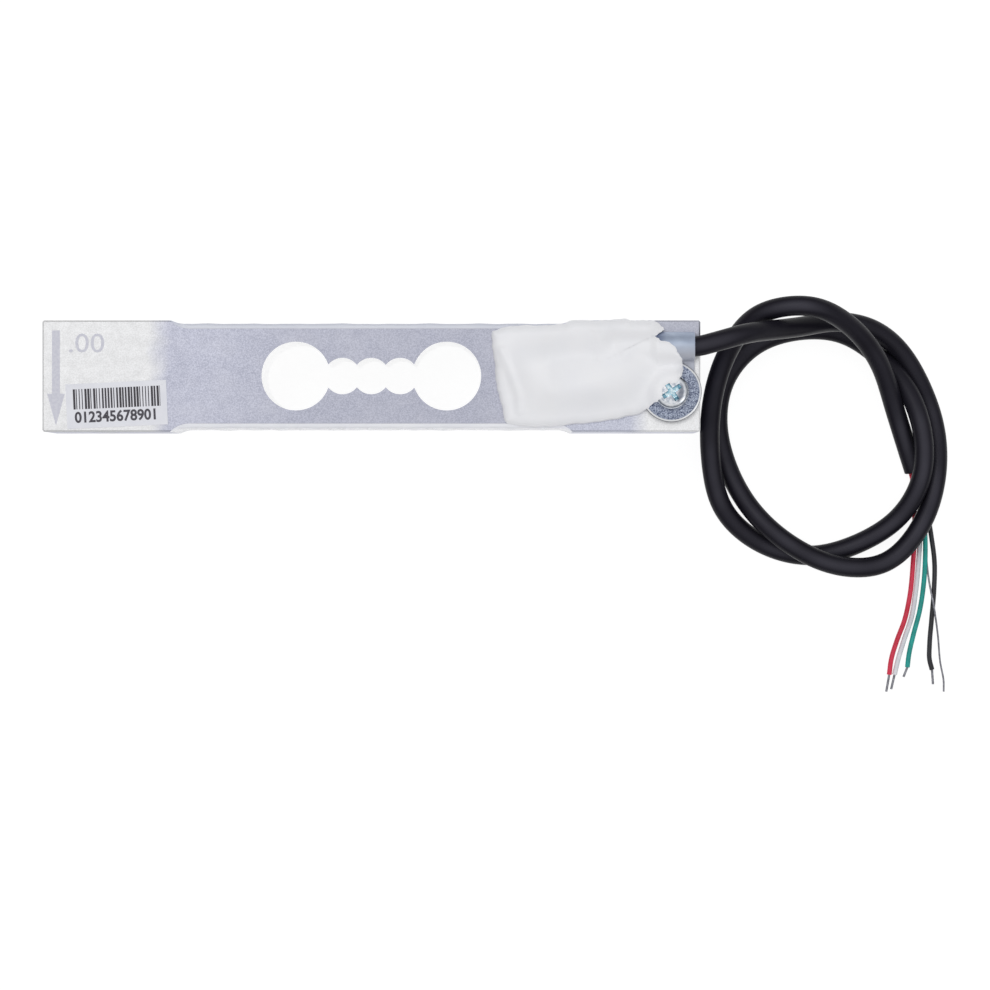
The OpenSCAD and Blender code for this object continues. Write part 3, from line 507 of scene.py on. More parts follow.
shaftHalf, headHalf = arrow["shaft"] / 2, arrow["head"] / 2
arrowOutline = [(arrow["x"] + side, arrow[level]) for side, level in (
    (-shaftHalf, "top"), (-shaftHalf, "neck"), (-headHalf, "neck"), (0, "tip"), (headHalf, "neck"),
    (shaftHalf, "neck"), (shaftHalf, "top"))]
points, faces = thinPlate(arrowOutline, beam["width"], inkThickness)
addPiece(makePiece("loadArrow", points, faces, smoothAngle=0.3), markFinish)


# Points turned by an angle in degrees about the origin, then moved to the middle
def turnedFlat(x, y, degrees, middle):
    a = math.radians(degrees)
    return middle[0] + x * math.cos(a) - y * math.sin(a), middle[1] + x * math.sin(a) + y * math.cos(a)


# Plain numerals as a thin flat mesh: size, width factor, turn and middle are applied to its points
def numerals(name, text, middle, size, squeeze, degrees, low, material, weight=0.0):
    curve = bpy.data.curves.new(name, "FONT")
    curve.body, curve.size, curve.extrude, curve.offset = text, 1.0, 0.5, weight
    curve.align_x, curve.align_y, curve.resolution_u = "CENTER", "CENTER", 4
    holder = bpy.data.objects.new(name + "Curve", curve)
    scene.collection.objects.link(holder)
    depsgraph = bpy.context.evaluated_depsgraph_get()
    mesh = bpy.data.meshes.new_from_object(holder.evaluated_get(depsgraph))
    mesh.name = name
    bpy.data.objects.remove(holder)
    flat = np.empty(len(mesh.vertices) * 3, dtype=np.float32)
    mesh.vertices.foreach_get("co", flat)
    flat = flat.reshape(-1, 3)
    x, y = turnedFlat(flat[:, 0] * size * squeeze, flat[:, 1] * size, degrees, middle)
    place = np.stack([x, y, low + (flat[:, 2] + 0.5) * inkThickness], axis=-1)
    mesh.vertices.foreach_set("co", (place * mm).astype(np.float32).ravel())
    mesh.materials.clear()
    closeMesh(mesh)
    made = bpy.data.objects.new(name, mesh)
    scene.collection.objects.link(made)
    addPiece(made, material)


numerals("ratingNumerals", ".00", rating["middle"], rating["size"], rating["squeeze"], 0, beam["width"],
         markFinish)
print("beam dressed and marked")

# label: a thin sheet whose corners lift a little, with bars and a row of plain numerals
label = {"length": 19.9, "width": 8.8, "x": -50.3, "y": -5.6, "turn": 2.6, "thick": 0.1, "low": 30.0,
         "glue": 0.005, "rows": 24, "columns": 48}
bars = {"x": 0.05, "y": 1.35, "halfLong": 8.6, "halfHigh": 2.0, "start": -8.55, "cell": 0.57,
        "thin": 0.34, "wider": 0.26, "widest": 0.16, "seed": 11.5}
numeralRow = {"x": -0.05, "y": -2.35, "size": 2.95, "squeeze": 0.93, "weight": 0.028}
paperFinish = newFinish("labelPaper", (0.86, 0.865, 0.92), 0.45)
n = Nodes(paperFinish)
u, v = n.placed(label["x"], label["y"], label["turn"])
# one bar to a cell; its share of the cell is thin, wider or widest by a random number for that cell
barPlace = n.math("DIVIDE", n.math("SUBTRACT", u, bars["start"] * mm), bars["cell"] * mm)
cell = n.math("FLOOR", barPlace)
within = n.math("SUBTRACT", barPlace, cell)
cellNoise = n.add("TexWhiteNoise", {"W": n.math("ADD", cell, bars["seed"])}, noise_dimensions="1D")
pick = cellNoise.outputs["Value"]
barWidth = n.math("ADD", n.product(n.math("GREATER_THAN", pick, 0.40), bars["wider"]), bars["thin"])
barWidth = n.math("ADD", barWidth, n.product(n.math("GREATER_THAN", pick, 0.82), bars["widest"]))
ink = n.product(n.math("LESS_THAN", within, barWidth), n.nearTo(u, bars["x"], bars["halfLong"]),
                n.nearTo(v, bars["y"], bars["halfHigh"]))
paper = n.ramp(n.noise(3, 3), 0.3, 0.7, (0.84, 0.845, 0.90), (0.89, 0.895, 0.94))
n.color(n.mix(ink, paper, (0.035, 0.03, 0.04)))
n.bump(n.noise(0.25, 3), 0.006, 0.5)


# Sheet over s along the label and t across it, both -1 to 1: height = thickness + 0.05 |s|^6 |t|^4 + waves
def labelSheet():
    s, t = np.linspace(-1, 1, label["columns"])[None, :], np.linspace(-1, 1, label["rows"])[:, None]
    lift = 0.05 * np.abs(s)**6 * np.abs(t)**4 + 0.008 * waves(10 * s, 4.5 * t, 9, 3)
    x, y = turnedFlat(label["length"] / 2 * s + 0 * t, label["width"] / 2 * t + 0 * s, label["turn"],
                      (label["x"], label["y"]))
    top = np.stack([x, y, label["low"] + label["thick"] + np.clip(lift, -0.02, 0.1)], axis=-1)
    under = top.copy()
    under[..., 2] = label["low"] + label["glue"]
    return sheetShell(top, under)


points, faces = labelSheet()
addPiece(makePiece("paperLabel", points, faces, smoothAngle=0.8), paperFinish, ["label"])
printFinish = newFinish("labelInk", (0.05, 0.045, 0.06), 0.5)
n = Nodes(printFinish)
n.color(n.ramp(n.noise(0.2, 2), 0.35, 0.65, (0.04, 0.035, 0.045), (0.085, 0.08, 0.10)))
numerals("labelNumerals", "012345678901", (label["x"] + numeralRow["x"], label["y"] + numeralRow["y"]),
         numeralRow["size"], numeralRow["squeeze"], label["turn"], label["low"] + label["thick"],
         printFinish, weight=numeralRow["weight"])
print("label made")

# silicone layers in the recesses
seal = {"end": 39.75, "floor": 9.35, "thick": 1.0, "highest": 10.985, "overFloor": 0.02, "topZ": 30.0,
        "cutter": 5.5, "floorArc": 35.87, "topArc": 36.9, "edge": 0.55, "unevenEdge": 0.12,
        "edgeUntil": (38.5, 35), "wave": 0.045, "waveLength": 14, "wavesUntil": (36.5, 33.5),
        "rows": 64, "columns": 240}
siliconeFinish = newFinish("siliconeWhite", (0.85, 0.86, 0.90), 0.3, Specular_IOR_Level=0.45)
n = Nodes(siliconeFinish)
# painted shade: the layer on the upper side is grey-blue instead of white
paintedShadeTopSide = n.fade(n.axes()[1], 7.8, 11.2)
wet = n.ramp(n.noise(6, 2), 0.3, 0.7, (0.90, 0.905, 0.95), (0.95, 0.955, 0.985))
n.color(n.mix(n.product(paintedShadeTopSide, 0.85), wet, (0.55, 0.58, 0.69)))
n.rough(n.range(n.noise(4, 2), 0.3, 0.7, 0.20, 0.36))
n.bump(n.noise(2.6, 2), 0.04, 0.4)


# Layer over u along the beam and v across it: height = floor + thick, plus slow waves, up the cutter's arc
# at both ends, and down in a quarter circle of the edge radius along both long edges
def siliconeLayer(name, side, seed, node):
    u = np.linspace(-1, 1, seal["columns"])[None, :]
    u = np.sign(u) * (1 - (1 - np.abs(u))**1.35)
    v = np.linspace(0, 1, seal["rows"])[:, None]
    v = 0.5 - 0.5 * np.cos(np.pi * v)
    along, across = u * seal["end"] + 0 * v, v * seal["topZ"] + 0 * u

    def arc(start):
        past = np.clip(np.abs(along) - start, 0, seal["cutter"])
        return seal["cutter"] - np.sqrt(seal["cutter"]**2 - past**2)

    rippled = seal["wave"] * smoothStep(*seal["wavesUntil"], np.abs(along))
    height = seal["floor"] + seal["thick"] + arc(seal["topArc"])
    height = height + rippled * waves(along, across, seal["waveLength"], seed)
    edgeGap = np.minimum(across, seal["topZ"] - across)
    edgeWidth = seal["edge"] + seal["unevenEdge"] * waves(along, 0 * along, 9, seed + 2)
    q = np.clip(1 - edgeGap / edgeWidth, 0, 1)
    height -= seal["edge"] * smoothStep(*seal["edgeUntil"], np.abs(along)) * (1 - np.sqrt(1 - q * q))
    height = np.minimum(height, seal["highest"])
    low = np.minimum(seal["floor"] + seal["overFloor"] + arc(seal["floorArc"]), height - 0.01)
    top = np.stack([along, side * height, across], axis=-1)
    under = np.stack([along, side * low, across], axis=-1)
    points, faces = sheetShell(top, under)
    addPiece(makePiece(name, points, faces, smoothAngle=1.0), siliconeFinish, [node])


siliconeLayer("topSilicone", 1, 21, "top_seal")
siliconeLayer("bottomSilicone", -1, 34, "bottom_seal")
print("silicone layers made")


# clamp: clip, washer and screw

clip = {"x": 59.8, "width": 8.0, "thick": 0.8, "toe": -6.7, "archY": 5.8, "archZ": 32.0, "archR": 2.45,
        "low": 30.0, "bend": 0.5, "edge": 0.14}
screw = {"x": 59.2, "y": -3.1, "seat": 31.8, "head": 7.0, "height": 2.5, "crown": 2.3, "domed": 0.10,
         "shank": 4.0, "length": 8.0, "armLength": 2.05, "armHalf": 0.5, "armTaper": 0.12, "depth": 1.1,
         "turn": 33.0, "sides": 360}
washer = {"outer": 12.0, "inner": 4.2, "low": 30.8, "thick": 1.0, "chamfer": 0.42, "sides": 144}


# Arc of a circle in the side view, from one angle to another in degrees
def arcPoints(middle, radius, fromAngle, toAngle, count):
    a = np.radians(np.linspace(fromAngle, toAngle, count))
    return np.stack([middle[0] + radius * np.cos(a), middle[1] + radius * np.sin(a)], axis=-1)


# Strip of sheet carried along a bent line in the side view: at each point of the line a rounded
# rectangle, half thickness along the line's normal and half width along the beam
def sheetStrip():
    half, r, bend = clip["thick"] / 2, clip["archR"], clip["bend"]
    foot = clip["low"] + half
    left, right = clip["archY"] - r, clip["archY"] + r
    line = np.concatenate([
        np.stack([np.linspace(clip["toe"], left - bend, 24), np.full(24, foot)], axis=-1),
        arcPoints((left - bend, foot + bend), bend, -80, 0, 9),
        arcPoints((clip["archY"], clip["archZ"]), r, 180, 0, 56),
        np.stack([np.full(5, right), np.linspace(clip["archZ"] - 0.4, clip["low"] + 0.02, 5)], axis=-1)])
    slope = np.gradient(line, axis=0)
    slope /= np.linalg.norm(slope, axis=1)[:, None]
    normal = np.stack([-slope[:, 1], slope[:, 0]], axis=-1)
    e, w = clip["edge"], clip["width"] / 2
    corner = arcPoints((0, 0), e, 0, 90, 5)
    loop = np.concatenate([corner + (w - e, half - e), corner[::-1] * (-1, 1) + (e - w, half - e),
                           corner * (-1, -1) + (e - w, e - half), corner[::-1] * (1, -1) + (w - e, e - half)])
    shrink = np.ones(len(line))
    shrink[[0, -1]] = 0.86
    across = loop[None, :, 0] * np.where(shrink < 1, 0.99, 1)[:, None]
    raised = loop[None, :, 1] * shrink[:, None]
    x = clip["x"] + across
    y = line[:, None, 0] + raised * normal[:, None, 0]
    z = line[:, None, 1] + raised * normal[:, None, 1]
    return ringShell(np.stack([x, y, z], axis=-1))


clipFinish = newFinish("clipZinc", (0.42, 0.50, 0.58), 0.5, 0.6)
n = Nodes(clipFinish)
x, y = n.axes()[:2]
zinc = n.ramp(n.noise(3.5, 3), 0.3, 0.7, (0.39, 0.45, 0.57), (0.49, 0.56, 0.68))
# painted light makes the clip's foot lighter, and painted shade darkens the arch where the blob meets it
zinc = n.mix(n.fade(y, 6.5, 4.0), zinc, (0.56, 0.58, 0.65))
paintedArchShade = n.product(n.fade(x, 58.2, 56.5), n.fade(y, 4.5, 6.0))  # the arch where the blob meets it
n.color(n.mix(paintedArchShade, zinc, (0.17, 0.21, 0.33)))
n.rough(n.range(n.noise(1.2, 3), 0.3, 0.7, 0.42, 0.56))
n.bump(n.noise(0.9, 3), 0.01, 0.4)
points, faces = sheetStrip()
addPiece(makePiece("cableClip", points, faces, smoothAngle=0.7), clipFinish, ["cable_clip"])


# Solid of revolution about an upright axis from a closed profile of (radius, height)
def turned(profile, middle, sides):
    p = np.asarray(profile, dtype=float)
    a = np.linspace(0, 2 * np.pi, sides, endpoint=False)
    x = middle[0] + p[:, None, 0] * np.cos(a)
    y = middle[1] + p[:, None, 0] * np.sin(a)
    points = np.stack([x, y, np.broadcast_to(p[:, None, 1], x.shape)], axis=-1)
    return points.reshape(-1, 3), gridFaces(len(p), sides, wrapRows=True, wrapColumns=True)


washerFinish = newFinish("washerZinc", (0.42, 0.47, 0.56), 0.38, 0.85)
n = Nodes(washerFinish)
reach = n.length(*n.placed(screw["x"], screw["y"], 0))
flecks = n.noise(0.26, 4)
flat = n.mix(n.range(flecks, 0.36, 0.64), (0.05, 0.065, 0.13), (0.44, 0.49, 0.60))
flat = n.mix(n.range(n.noise(0.16, 1), 0.60, 0.72), flat, (0.66, 0.72, 0.82))
ro, ri, ch = washer["outer"] / 2, washer["inner"] / 2, washer["chamfer"]
# painted highlight on the chamfer's rim, and painted shade along the outer edge
paintedRimHighlight, paintedEdgeShade = n.fade(reach, ro - ch - 0.05, ro - ch + 0.05), n.fade(reach, ro - 0.12, ro - 0.06)
n.color(n.mix(paintedEdgeShade, n.mix(paintedRimHighlight, flat, (0.95, 0.96, 0.97)), (0.12, 0.12, 0.15)))
n.rough(n.range(n.noise(0.5, 2), 0.3, 0.7, 0.30, 0.48))
n.bump(flecks, 0.02, 0.6)
lo, hi = washer["low"], washer["low"] + washer["thick"]
points, faces = turned([
    (ri, lo + 0.1), (ri + 0.1, lo), (3.0, lo), (4.5, lo), (ro - 0.1, lo), (ro, lo + 0.1), (ro, hi - ch / 2),
    (ro - 0.06, hi - ch / 2 + 0.06), (ro - ch, hi - 0.01), (ro - ch - 0.08, hi), (4.5, hi), (3.0, hi),
    (ri + 0.12, hi), (ri, hi - 0.12)], (screw["x"], screw["y"]), washer["sides"])
addPiece(makePiece("plainWasher", points, faces, smoothAngle=0.5), washerFinish,
         ["clip_washer"])


# Pan head: height over the seat = H - domed (r / rim)^2, and beyond the crown also less
# e (1 - sqrt(1 - ((r - crown) / e)^2)) with e = rim - crown, all less the cross, whose depth falls from
# the middle to each arm's end, with steep walls at the arm's half width
def crossHead():
    rim = screw["head"] / 2
    r = np.concatenate([np.linspace(0.03, 2.6, 70), np.linspace(2.64, rim, 26)])[:, None]
    a = np.linspace(0, 2 * np.pi, screw["sides"], endpoint=False)[None, :]
    e = rim - screw["crown"]
    q = np.clip((r - screw["crown"]) / e, 0, 1)
    z = screw["height"] - screw["domed"] * (r / rim)**2 - e * (1 - np.sqrt(1 - q * q)) + 0 * a
    turn = math.radians(screw["turn"])
    u, v = r * np.cos(a - turn), r * np.sin(a - turn)

    def arm(long, wide):
        half = screw["armHalf"] * (1 - screw["armTaper"] * np.abs(long) / screw["armLength"])
        toEnd = screw["armLength"] - np.abs(long)
        wall = smoothStep(0, 0.13, half - np.abs(wide))
        return wall * (0.35 * smoothStep(0, 0.12, toEnd) + 0.65 * smoothStep(0, 0.75, toEnd))

    core = smoothStep(0.95, 0.62, np.abs(u) + np.abs(v))
    z = z - screw["depth"] * np.maximum(np.maximum(arm(u, v), arm(v, u)), core)
    shank, point = screw["shank"] / 2, -screw["length"]
    tail = np.array([(rim, 0.9), (rim, 0.12), (rim - 0.12, 0), (shank, 0), (shank, point + 0.4),
                     (shank - 0.4, point)])
    r, z = np.concatenate([r, tail[:, :1]]), np.concatenate([z, tail[:, 1:] + 0 * a])
    return ringShell(np.stack([screw["x"] + r * np.cos(a), screw["y"] + r * np.sin(a), screw["seat"] + z],
                              axis=-1))


screwFinish = newFinish("screwZinc", (0.70, 0.76, 0.82), 0.22, 1.0)
n = Nodes(screwFinish)
# place on the head turned with the cross: near and far are its distances from the arms' middle lines
u, v = n.placed(screw["x"], screw["y"], screw["turn"])
reach = n.length(u, v)
absU, absV = n.math("ABSOLUTE", u), n.math("ABSOLUTE", v)
near, far = n.math("MINIMUM", absU, absV), n.math("MAXIMUM", absU, absV)
inCross = n.product(n.math("LESS_THAN", near, 0.48 * mm), n.math("LESS_THAN", far, screw["armLength"] * mm))
inFloor = n.product(n.fade(near, 0.46, 0.36), n.fade(far, 2.04, 1.94))
inFloor = n.math("MAXIMUM", inFloor, n.fade(far, 0.62, 0.50))
plate = n.ramp(n.noise(0.8, 3), 0.35, 0.65, (0.50, 0.54, 0.61), (0.90, 0.92, 0.95))
# painted shade on the head's right side, a painted highlight ring on its rounded edge and a painted shade
# ring beyond it
paintedShadeRight = n.product(n.fade(n.math("SUBTRACT", u, v), 1.5, 2.3), n.fade(reach, 2.45, 2.25))
paintedRingHighlight = n.product(n.fade(reach, 2.45, 2.6), n.fade(reach, 2.95, 2.8))
paintedRingShade = n.product(n.fade(reach, 2.95, 3.08), n.fade(reach, 3.36, 3.22))
for share, strength, tint in ((paintedShadeRight, 0.85, (0.20, 0.22, 0.27)), (paintedRingHighlight, 0.7, (0.95, 0.97, 0.99)),
                              (paintedRingShade, 0.8, (0.13, 0.15, 0.19))):
    plate = n.mix(n.product(share, strength), plate, tint)
# painted highlight on the floor of the cross's arms, and painted shade on their walls
paintedGlint = n.mix(n.range(n.noise(0.45, 2), 0.42, 0.58), (0.36, 0.62, 0.74), (0.80, 0.93, 0.97))
n.color(n.mix(inCross, plate, n.mix(inFloor, (0.13, 0.24, 0.31), paintedGlint)))
n.rough(n.range(n.noise(0.5, 2), 0.3, 0.7, 0.16, 0.32))
points, faces = crossHead()
addPiece(makePiece("crossScrew", points, faces, smoothAngle=0.7), screwFinish, ["clip_screw"])
print("clamp made")

# silicone blob over the board, the cable's end and part of the clamp
blob = {"x": 42.0, "y": 1.0, "low": 30.0, "edge": 1.7, "thin": 1.75, "crown": 2.6, "rise": 5.2, "soft": 2.2,
        "film": 0.42, "blend": 1.6, "wave": 0.09, "highest": 35.62, "rings": 96, "perPoint": 8}
bulge = {"x": 54, "y": 2.5, "height": 1.0, "spread": 50}
support = {"cableFrom": (42.5, 48.0), "clipFrom": (54.6, 56.6), "skirt": 1.2, "footStart": (-7.0, -6.5),
           "footEnd": (8.9, 8.5), "washerReach": 7.2, "headReach": 4.6}
blobOutline = [
    (23.8, 8.7), (23.8, 6.9), (24.0, 4.7), (24.4, 1.9), (24.5, 0.0), (24.7, -2.0), (25.3, -4.2), (25.9, -6.7),
    (26.3, -8.7), (27.4, -9.5), (29.8, -9.9), (32.9, -10.0), (35.7, -9.9), (38.4, -9.7), (41.6, -9.4),
    (44.7, -9.1), (47.9, -8.6), (50.7, -8.0), (52.6, -7.6), (54.0, -6.8), (54.8, -6.2), (55.6, -5.5),
    (56.4, -5.0), (57.0, -4.5), (57.3, -3.6), (57.4, -2.7), (57.9, -1.9), (58.8, -1.6), (60.0, -1.4),
    (60.9, -0.5), (61.4, 0.7), (61.5, 1.9), (61.3, 2.9), (60.8, 4.0), (60.2, 4.9), (59.7, 5.8), (58.6, 6.6),
    (57.4, 6.8), (56.6, 7.3), (56.0, 7.7), (56.7, 8.3), (57.3, 8.8), (57.8, 9.2), (57.2, 9.9), (56.3, 10.7),
    (55.0, 11.0), (53.0, 10.95), (51.5, 11.0), (49.9, 11.3), (47.9, 11.2), (46.3, 11.0), (43.2, 11.0),
    (39.8, 11.0), (38.0, 10.4), (35.7, 10.1), (32.5, 10.0), (29.4, 10.0), (27.0, 9.8), (25.2, 9.3),
]
blobRidges = [  # each: points of a low ridge on the blob, its height and its half width
    ([(25.8, 5.0), (27.0, 1.7), (28.1, -1.2), (29.1, -4.0), (29.3, -7.0)], 0.40, 0.9),
    ([(35.2, 6.5), (35.0, 2.0), (35.4, -3.0)], 0.22, 1.3),
    ([(43.6, 8.4), (44.1, 6.4), (44.2, 3.2)], 0.13, 0.5),
    ([(44.9, 8.4), (44.4, 6.4)], 0.10, 0.45),
    ([(48.6, 4.4), (49.6, 3.0), (50.8, 4.2)], 0.14, 0.8),
]


# What lies under the silicone, as a height: the beam, the cable and the clip as a ridge
# h exp(-(across / width)^2.6), the clip's foot, and the washer and the head as h exp(-(reach / radius)^power)
def supportHeight(x, y):
    onClip, onCable = smoothStep(*support["clipFrom"], x), smoothStep(*support["cableFrom"], x)
    cableRadius, clipRadius = cable["diameter"] / 2, clip["archR"] + clip["thick"] / 2
    radius = onCable * cableRadius + onClip * (clipRadius - cableRadius)
    ridge = onCable * (cable["z"] - blob["low"]) + radius
    ridge = ridge * np.exp(-(np.abs(y - clip["archY"]) / (radius + support["skirt"]))**2.6)
    foot = clip["thick"] * onClip * smoothStep(*support["footStart"], y) * smoothStep(*support["footEnd"], y)
    reach = np.hypot(x - screw["x"], y - screw["y"])
    clamp = (washer["low"] + washer["thick"] - blob["low"]) * np.exp(-(reach / support["washerReach"])**8)
    clamp = clamp + screw["height"] * np.exp(-(reach / support["headReach"])**5)
    return blob["low"] + np.maximum(np.maximum(ridge, foot), clamp)


# Distance from each point of the plane to a line through a few points
def lineDistance(x, y, line):
    best = np.full(x.shape, 1e9)
    for (x0, y0), (x1, y1) in zip(line[:-1], line[1:]):
        t = np.clip(((x - x0) * (x1 - x0) + (y - y0) * (y1 - y0)) / ((x1 - x0)**2 + (y1 - y0)**2), 0, 1)
        best = np.minimum(best, np.hypot(x - x0 - t * (x1 - x0), y - y0 - t * (y1 - y0)))
    return best


# Closed smooth outline through points, the slope at each being half the step between its neighbours
def smoothOutline(points, steps):
    p = np.asarray(points, dtype=float)
    before, after, further = np.roll(p, 1, axis=0), np.roll(p, -1, axis=0), np.roll(p, -2, axis=0)
    t = (np.arange(steps) / steps)[None, :, None]
    p, before, after, further = p[:, None], before[:, None], after[:, None], further[:, None]
    curve = 0.5 * (2 * p + (after - before) * t + (2 * before - 5 * p + 4 * after - further) * t**2
                   + (3 * p - before - 3 * after + further) * t**3)
    return curve.reshape(-1, 2)


# Height of the blob with gap the distance to the outline and e = sqrt(1 - (1 - gap / edge)^2): the soft
# maximum of low + e (thin + crown rise(d) + bulge) and support + e film, plus waves and ridges, held under
# the highest. In it d is a soft distance, free of creases: -soft log(sum of exp(-gap to each outline
# point / soft) step / (2 soft)), and the bulge is its height exp(-(distance from its middle)^2 / spread).
# The outline wavers by about 0.05 mm
def siliconeBlob():
    outline = smoothOutline(blobOutline, blob["perPoint"])
    k = np.arange(len(outline))
    outline = outline + 0.05 * np.stack([np.sin(k * 0.37) + np.sin(k * 0.83 + 1),
                                         np.cos(k * 0.41) + np.sin(k * 0.71)], axis=-1)
    middle = np.array([blob["x"], blob["y"]])
    u = 1 - (1 - np.linspace(0, 1, blob["rings"]))**1.6
    u = u[::-1][:, None]
    x = middle[0] + (outline[None, :, 0] - middle[0]) * u
    y = middle[1] + (outline[None, :, 1] - middle[1]) * u
    nearest = np.full(x.shape, 1e9)
    pull = np.zeros(x.shape)
    for point, step in zip(outline, np.linalg.norm(np.roll(outline, -1, axis=0) - outline, axis=1)):
        away = np.hypot(x - point[0], y - point[1])
        nearest = np.minimum(nearest, away)
        pull += step * np.exp(-away / blob["soft"]) / (2 * blob["soft"])
    gap = np.clip(nearest / blob["edge"], 0, 1)
    e = np.sqrt(1 - (1 - gap)**2)
    softGap = np.maximum(-blob["soft"] * np.log(pull), 0)
    dome = blob["low"] + e * (blob["thin"] + blob["crown"] * smoothStep(0, blob["rise"], softGap))
    swell = np.exp(-((x - bulge["x"])**2 + (y - bulge["y"])**2) / bulge["spread"])
    dome = dome + e * bulge["height"] * swell
    film = supportHeight(x, y) + e * blob["film"]
    low, sharp = blob["low"], blob["blend"]
    z = np.log(np.exp(sharp * (dome - low)) + np.exp(sharp * (film - low)) - 1 + 1e-9) / sharp + low
    z = z + e * blob["wave"] * (np.sin(0.42 * x + 0.3 * y + 1) + 0.8 * np.sin(0.55 * y - 0.21 * x)
                                + 0.5 * np.sin(0.7 * x - 0.4 * y + 2))
    for line, height, half in blobRidges:
        z = z + e * height * np.exp(-(lineDistance(x, y, line) / half)**2)
    top = np.stack([x, y, np.clip(z, low + 0.01, blob["highest"])], axis=-1)
    base = np.stack([x[0], y[0], np.full(x.shape[1], low)], axis=-1)[None]
    return ringShell(np.concatenate([base, top]))


blobFinish = newFinish("siliconeBlobWhite", (0.95, 0.955, 0.985), 0.42, Specular_IOR_Level=0.5)
n = Nodes(blobFinish)
n.color(n.ramp(n.noise(6, 2), 0.3, 0.7, (0.96, 0.962, 0.985), (0.985, 0.985, 1.0)))
n.rough(n.range(n.noise(4, 2), 0.3, 0.7, 0.36, 0.48))
n.bump(n.noise(3.2, 1), 0.02, 0.3)
points, faces = siliconeBlob()
addPiece(makePiece("siliconeBlob", points, faces, smoothAngle=1.3), blobFinish,
         ["potting"])
print("blob made")

# inner pieces, seen only where something else is taken off
for names, finishName, color, roughness, metallic in (
    (["gauge_top_load_end", "gauge_top_cable_end", "gauge_bottom_load_end", "gauge_bottom_cable_end"],
     "gaugeFoil", (0.62, 0.36, 0.10), 0.4, 0.6),
    (["top_gauge_leads", "bottom_gauge_leads"], "leadEnamel", (0.50, 0.16, 0.05), 0.3, 0.8),
    (["terminal_board"], "boardMask", (0.02, 0.16, 0.06), 0.35, 0.0),
    (["zero_resistor", "span_resistor"], "resistorBody", (0.03, 0.03, 0.035), 0.5, 0.0),
    (["solder_joints"], "solderTin", (0.72, 0.73, 0.75), 0.25, 1.0),
):
    finish = newFinish(finishName, color, roughness, metallic)
    n = Nodes(finish)
    darker, lighter = tuple(0.85 * c for c in color), tuple(min(1.0, 1.15 * c) for c in color)
    n.color(n.ramp(n.noise(0.6, 3), 0.3, 0.7, darker, lighter))
    n.bump(n.noise(0.3, 2), 0.01, 0.4)
    for name in names:
        dressNode(name, finish)
for key in ("red", "white", "green", "black"):
    dressNode(key + "_core", wireFinishes[key])

# floor, backdrop light and lamps
room = {"floorHalf": 1.6, "floor": (0.86, 0.86, 0.87), "shade": (0.18, 0.18, 0.18), "glow": 0.92,
        "sky": (0.98, 0.985, 1.0), "skyLow": 0.35, "skyHigh": 0.75, "skyTop": 0.85, "backdrop": 1.0}


def plainShader(tree, kind, color, strength=None):
    made = tree.nodes.new("ShaderNode" + kind)
    made.inputs[0].default_value = (*color, 1)
    if strength is not None:
        made.inputs[1].default_value = strength
    return made


# The surface is first where share is 0, and second where it is 1
def joinShaders(tree, outputKind, share, first, second):
    out, blend = tree.nodes.new(outputKind), tree.nodes.new("ShaderNodeMixShader")
    for output, socket in ((share, blend.inputs[0]), (first, blend.inputs[1]),
                           (second, blend.inputs[2]), (blend.outputs[0], out.inputs[0])):
        tree.links.new(output, socket)


# 1 for rays from the camera, off glossy things and through clear ones
def seenRays(tree):
    path = tree.nodes.new("ShaderNodeLightPath")
    seen = path.outputs["Is Camera Ray"]
    for kind in ("Is Glossy Ray", "Is Transmission Ray"):
        either = tree.nodes.new("ShaderNodeMath")
        either.operation = "MAXIMUM"
        tree.links.new(seen, either.inputs[0])
        tree.links.new(path.outputs[kind], either.inputs[1])
        seen = either.outputs[0]
    return seen


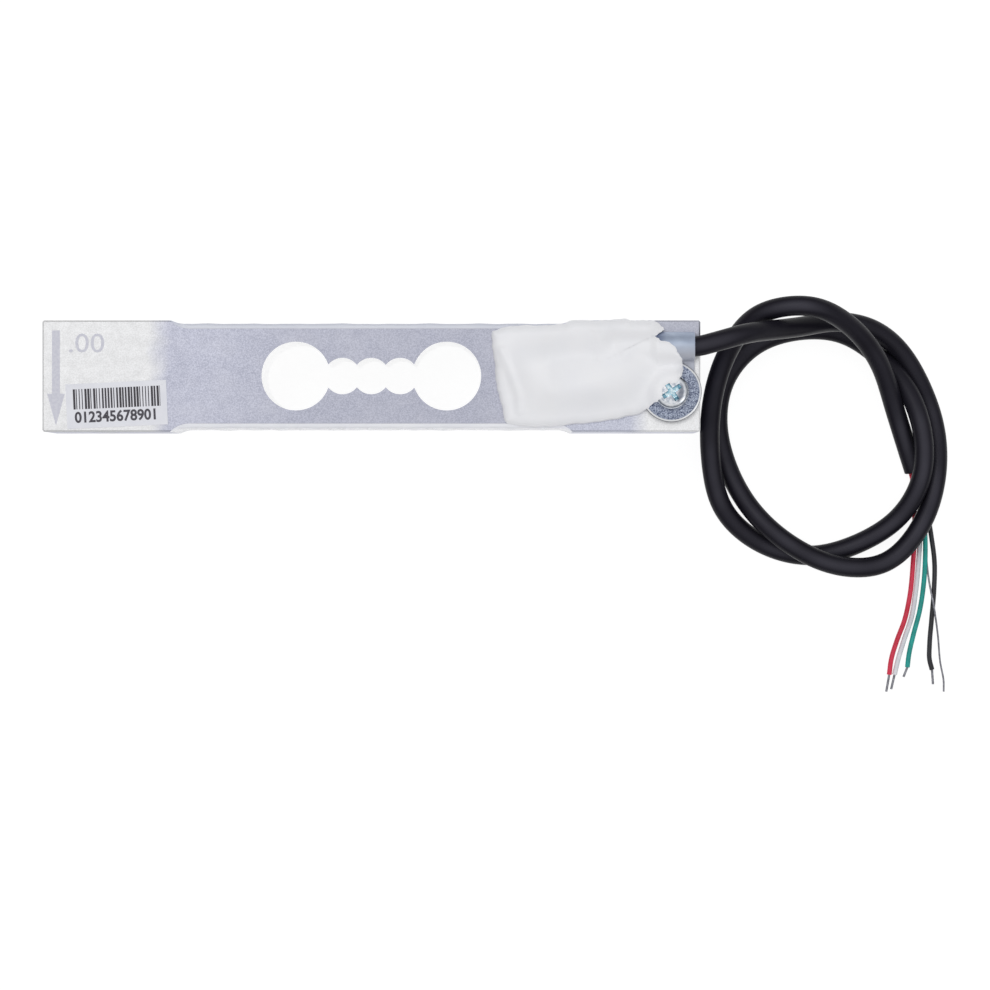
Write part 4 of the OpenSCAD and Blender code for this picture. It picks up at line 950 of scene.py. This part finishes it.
half = room["floorHalf"]
floorMesh = bpy.data.meshes.new("paleFloor")
floorMesh.from_pydata([(-half, -half, 0), (half, -half, 0), (half, half, 0), (-half, half, 0)], [],
                      [(0, 1, 2, 3)])
floor = bpy.data.objects.new("paleFloor", floorMesh)
scene.collection.objects.link(floor)
floorFinish = bpy.data.materials.new("floorPale")
floorFinish.use_nodes = True
tree = floorFinish.node_tree
tree.nodes.clear()
plain = plainShader(tree, "BsdfDiffuse", room["floor"])
shade = plainShader(tree, "BsdfDiffuse", room["shade"])
glow = plainShader(tree, "Emission", (1, 1, 1), room["glow"])
shown = tree.nodes.new("ShaderNodeAddShader")
tree.links.new(shade.outputs[0], shown.inputs[0])
tree.links.new(glow.outputs[0], shown.inputs[1])
joinShaders(tree, "ShaderNodeOutputMaterial", seenRays(tree), plain.outputs[0], shown.outputs[0])
dress(floor, floorFinish)

# world: brighter overhead than at the horizon for light, white where the camera sees it
world = bpy.data.worlds.new("paleRoom")
scene.world = world
world.use_nodes = True
tree = world.node_tree
tree.nodes.clear()
light = plainShader(tree, "Background", room["sky"])
backdrop = plainShader(tree, "Background", (1, 1, 1), room["backdrop"])
where, split = tree.nodes.new("ShaderNodeTexCoord"), tree.nodes.new("ShaderNodeSeparateXYZ")
byHeight = tree.nodes.new("ShaderNodeMapRange")
for socket, value in (("From Min", 0.0), ("From Max", room["skyTop"]),
                      ("To Min", room["skyLow"]), ("To Max", room["skyHigh"])):
    byHeight.inputs[socket].default_value = value
tree.links.new(where.outputs["Generated"], split.inputs[0])
tree.links.new(split.outputs[2], byHeight.inputs[0])
tree.links.new(byHeight.outputs[0], light.inputs[1])
path = tree.nodes.new("ShaderNodeLightPath")
joinShaders(tree, "ShaderNodeOutputWorld", path.outputs["Is Camera Ray"], light.outputs[0],
            backdrop.outputs[0])

lampTarget = (0.024, -0.01, 0.015)  # metres, the middle of the object


# Area lamp that points at the target
def softLamp(name, place, size, power, color=(1, 1, 1)):
    data = bpy.data.lights.new(name, "AREA")
    data.shape, data.size, data.size_y = "RECTANGLE", size[0], size[1]
    data.energy, data.color = power, color
    lamp = bpy.data.objects.new(name, data)
    lamp.location = place
    lamp.rotation_mode = "QUATERNION"
    lamp.rotation_quaternion = (Vector(lampTarget) - Vector(place)).to_track_quat("-Z", "Y")
    scene.collection.objects.link(lamp)


softLamp("overheadLamp", (-0.25, 0.35, 1.25), (0.8, 0.5), 2.6)
softLamp("sideLamp", (0.9, -0.6, 0.8), (0.5, 0.7), 0.8, (0.95, 0.97, 1.0))
scene.view_settings.view_transform = "Standard"
print("stage lit")
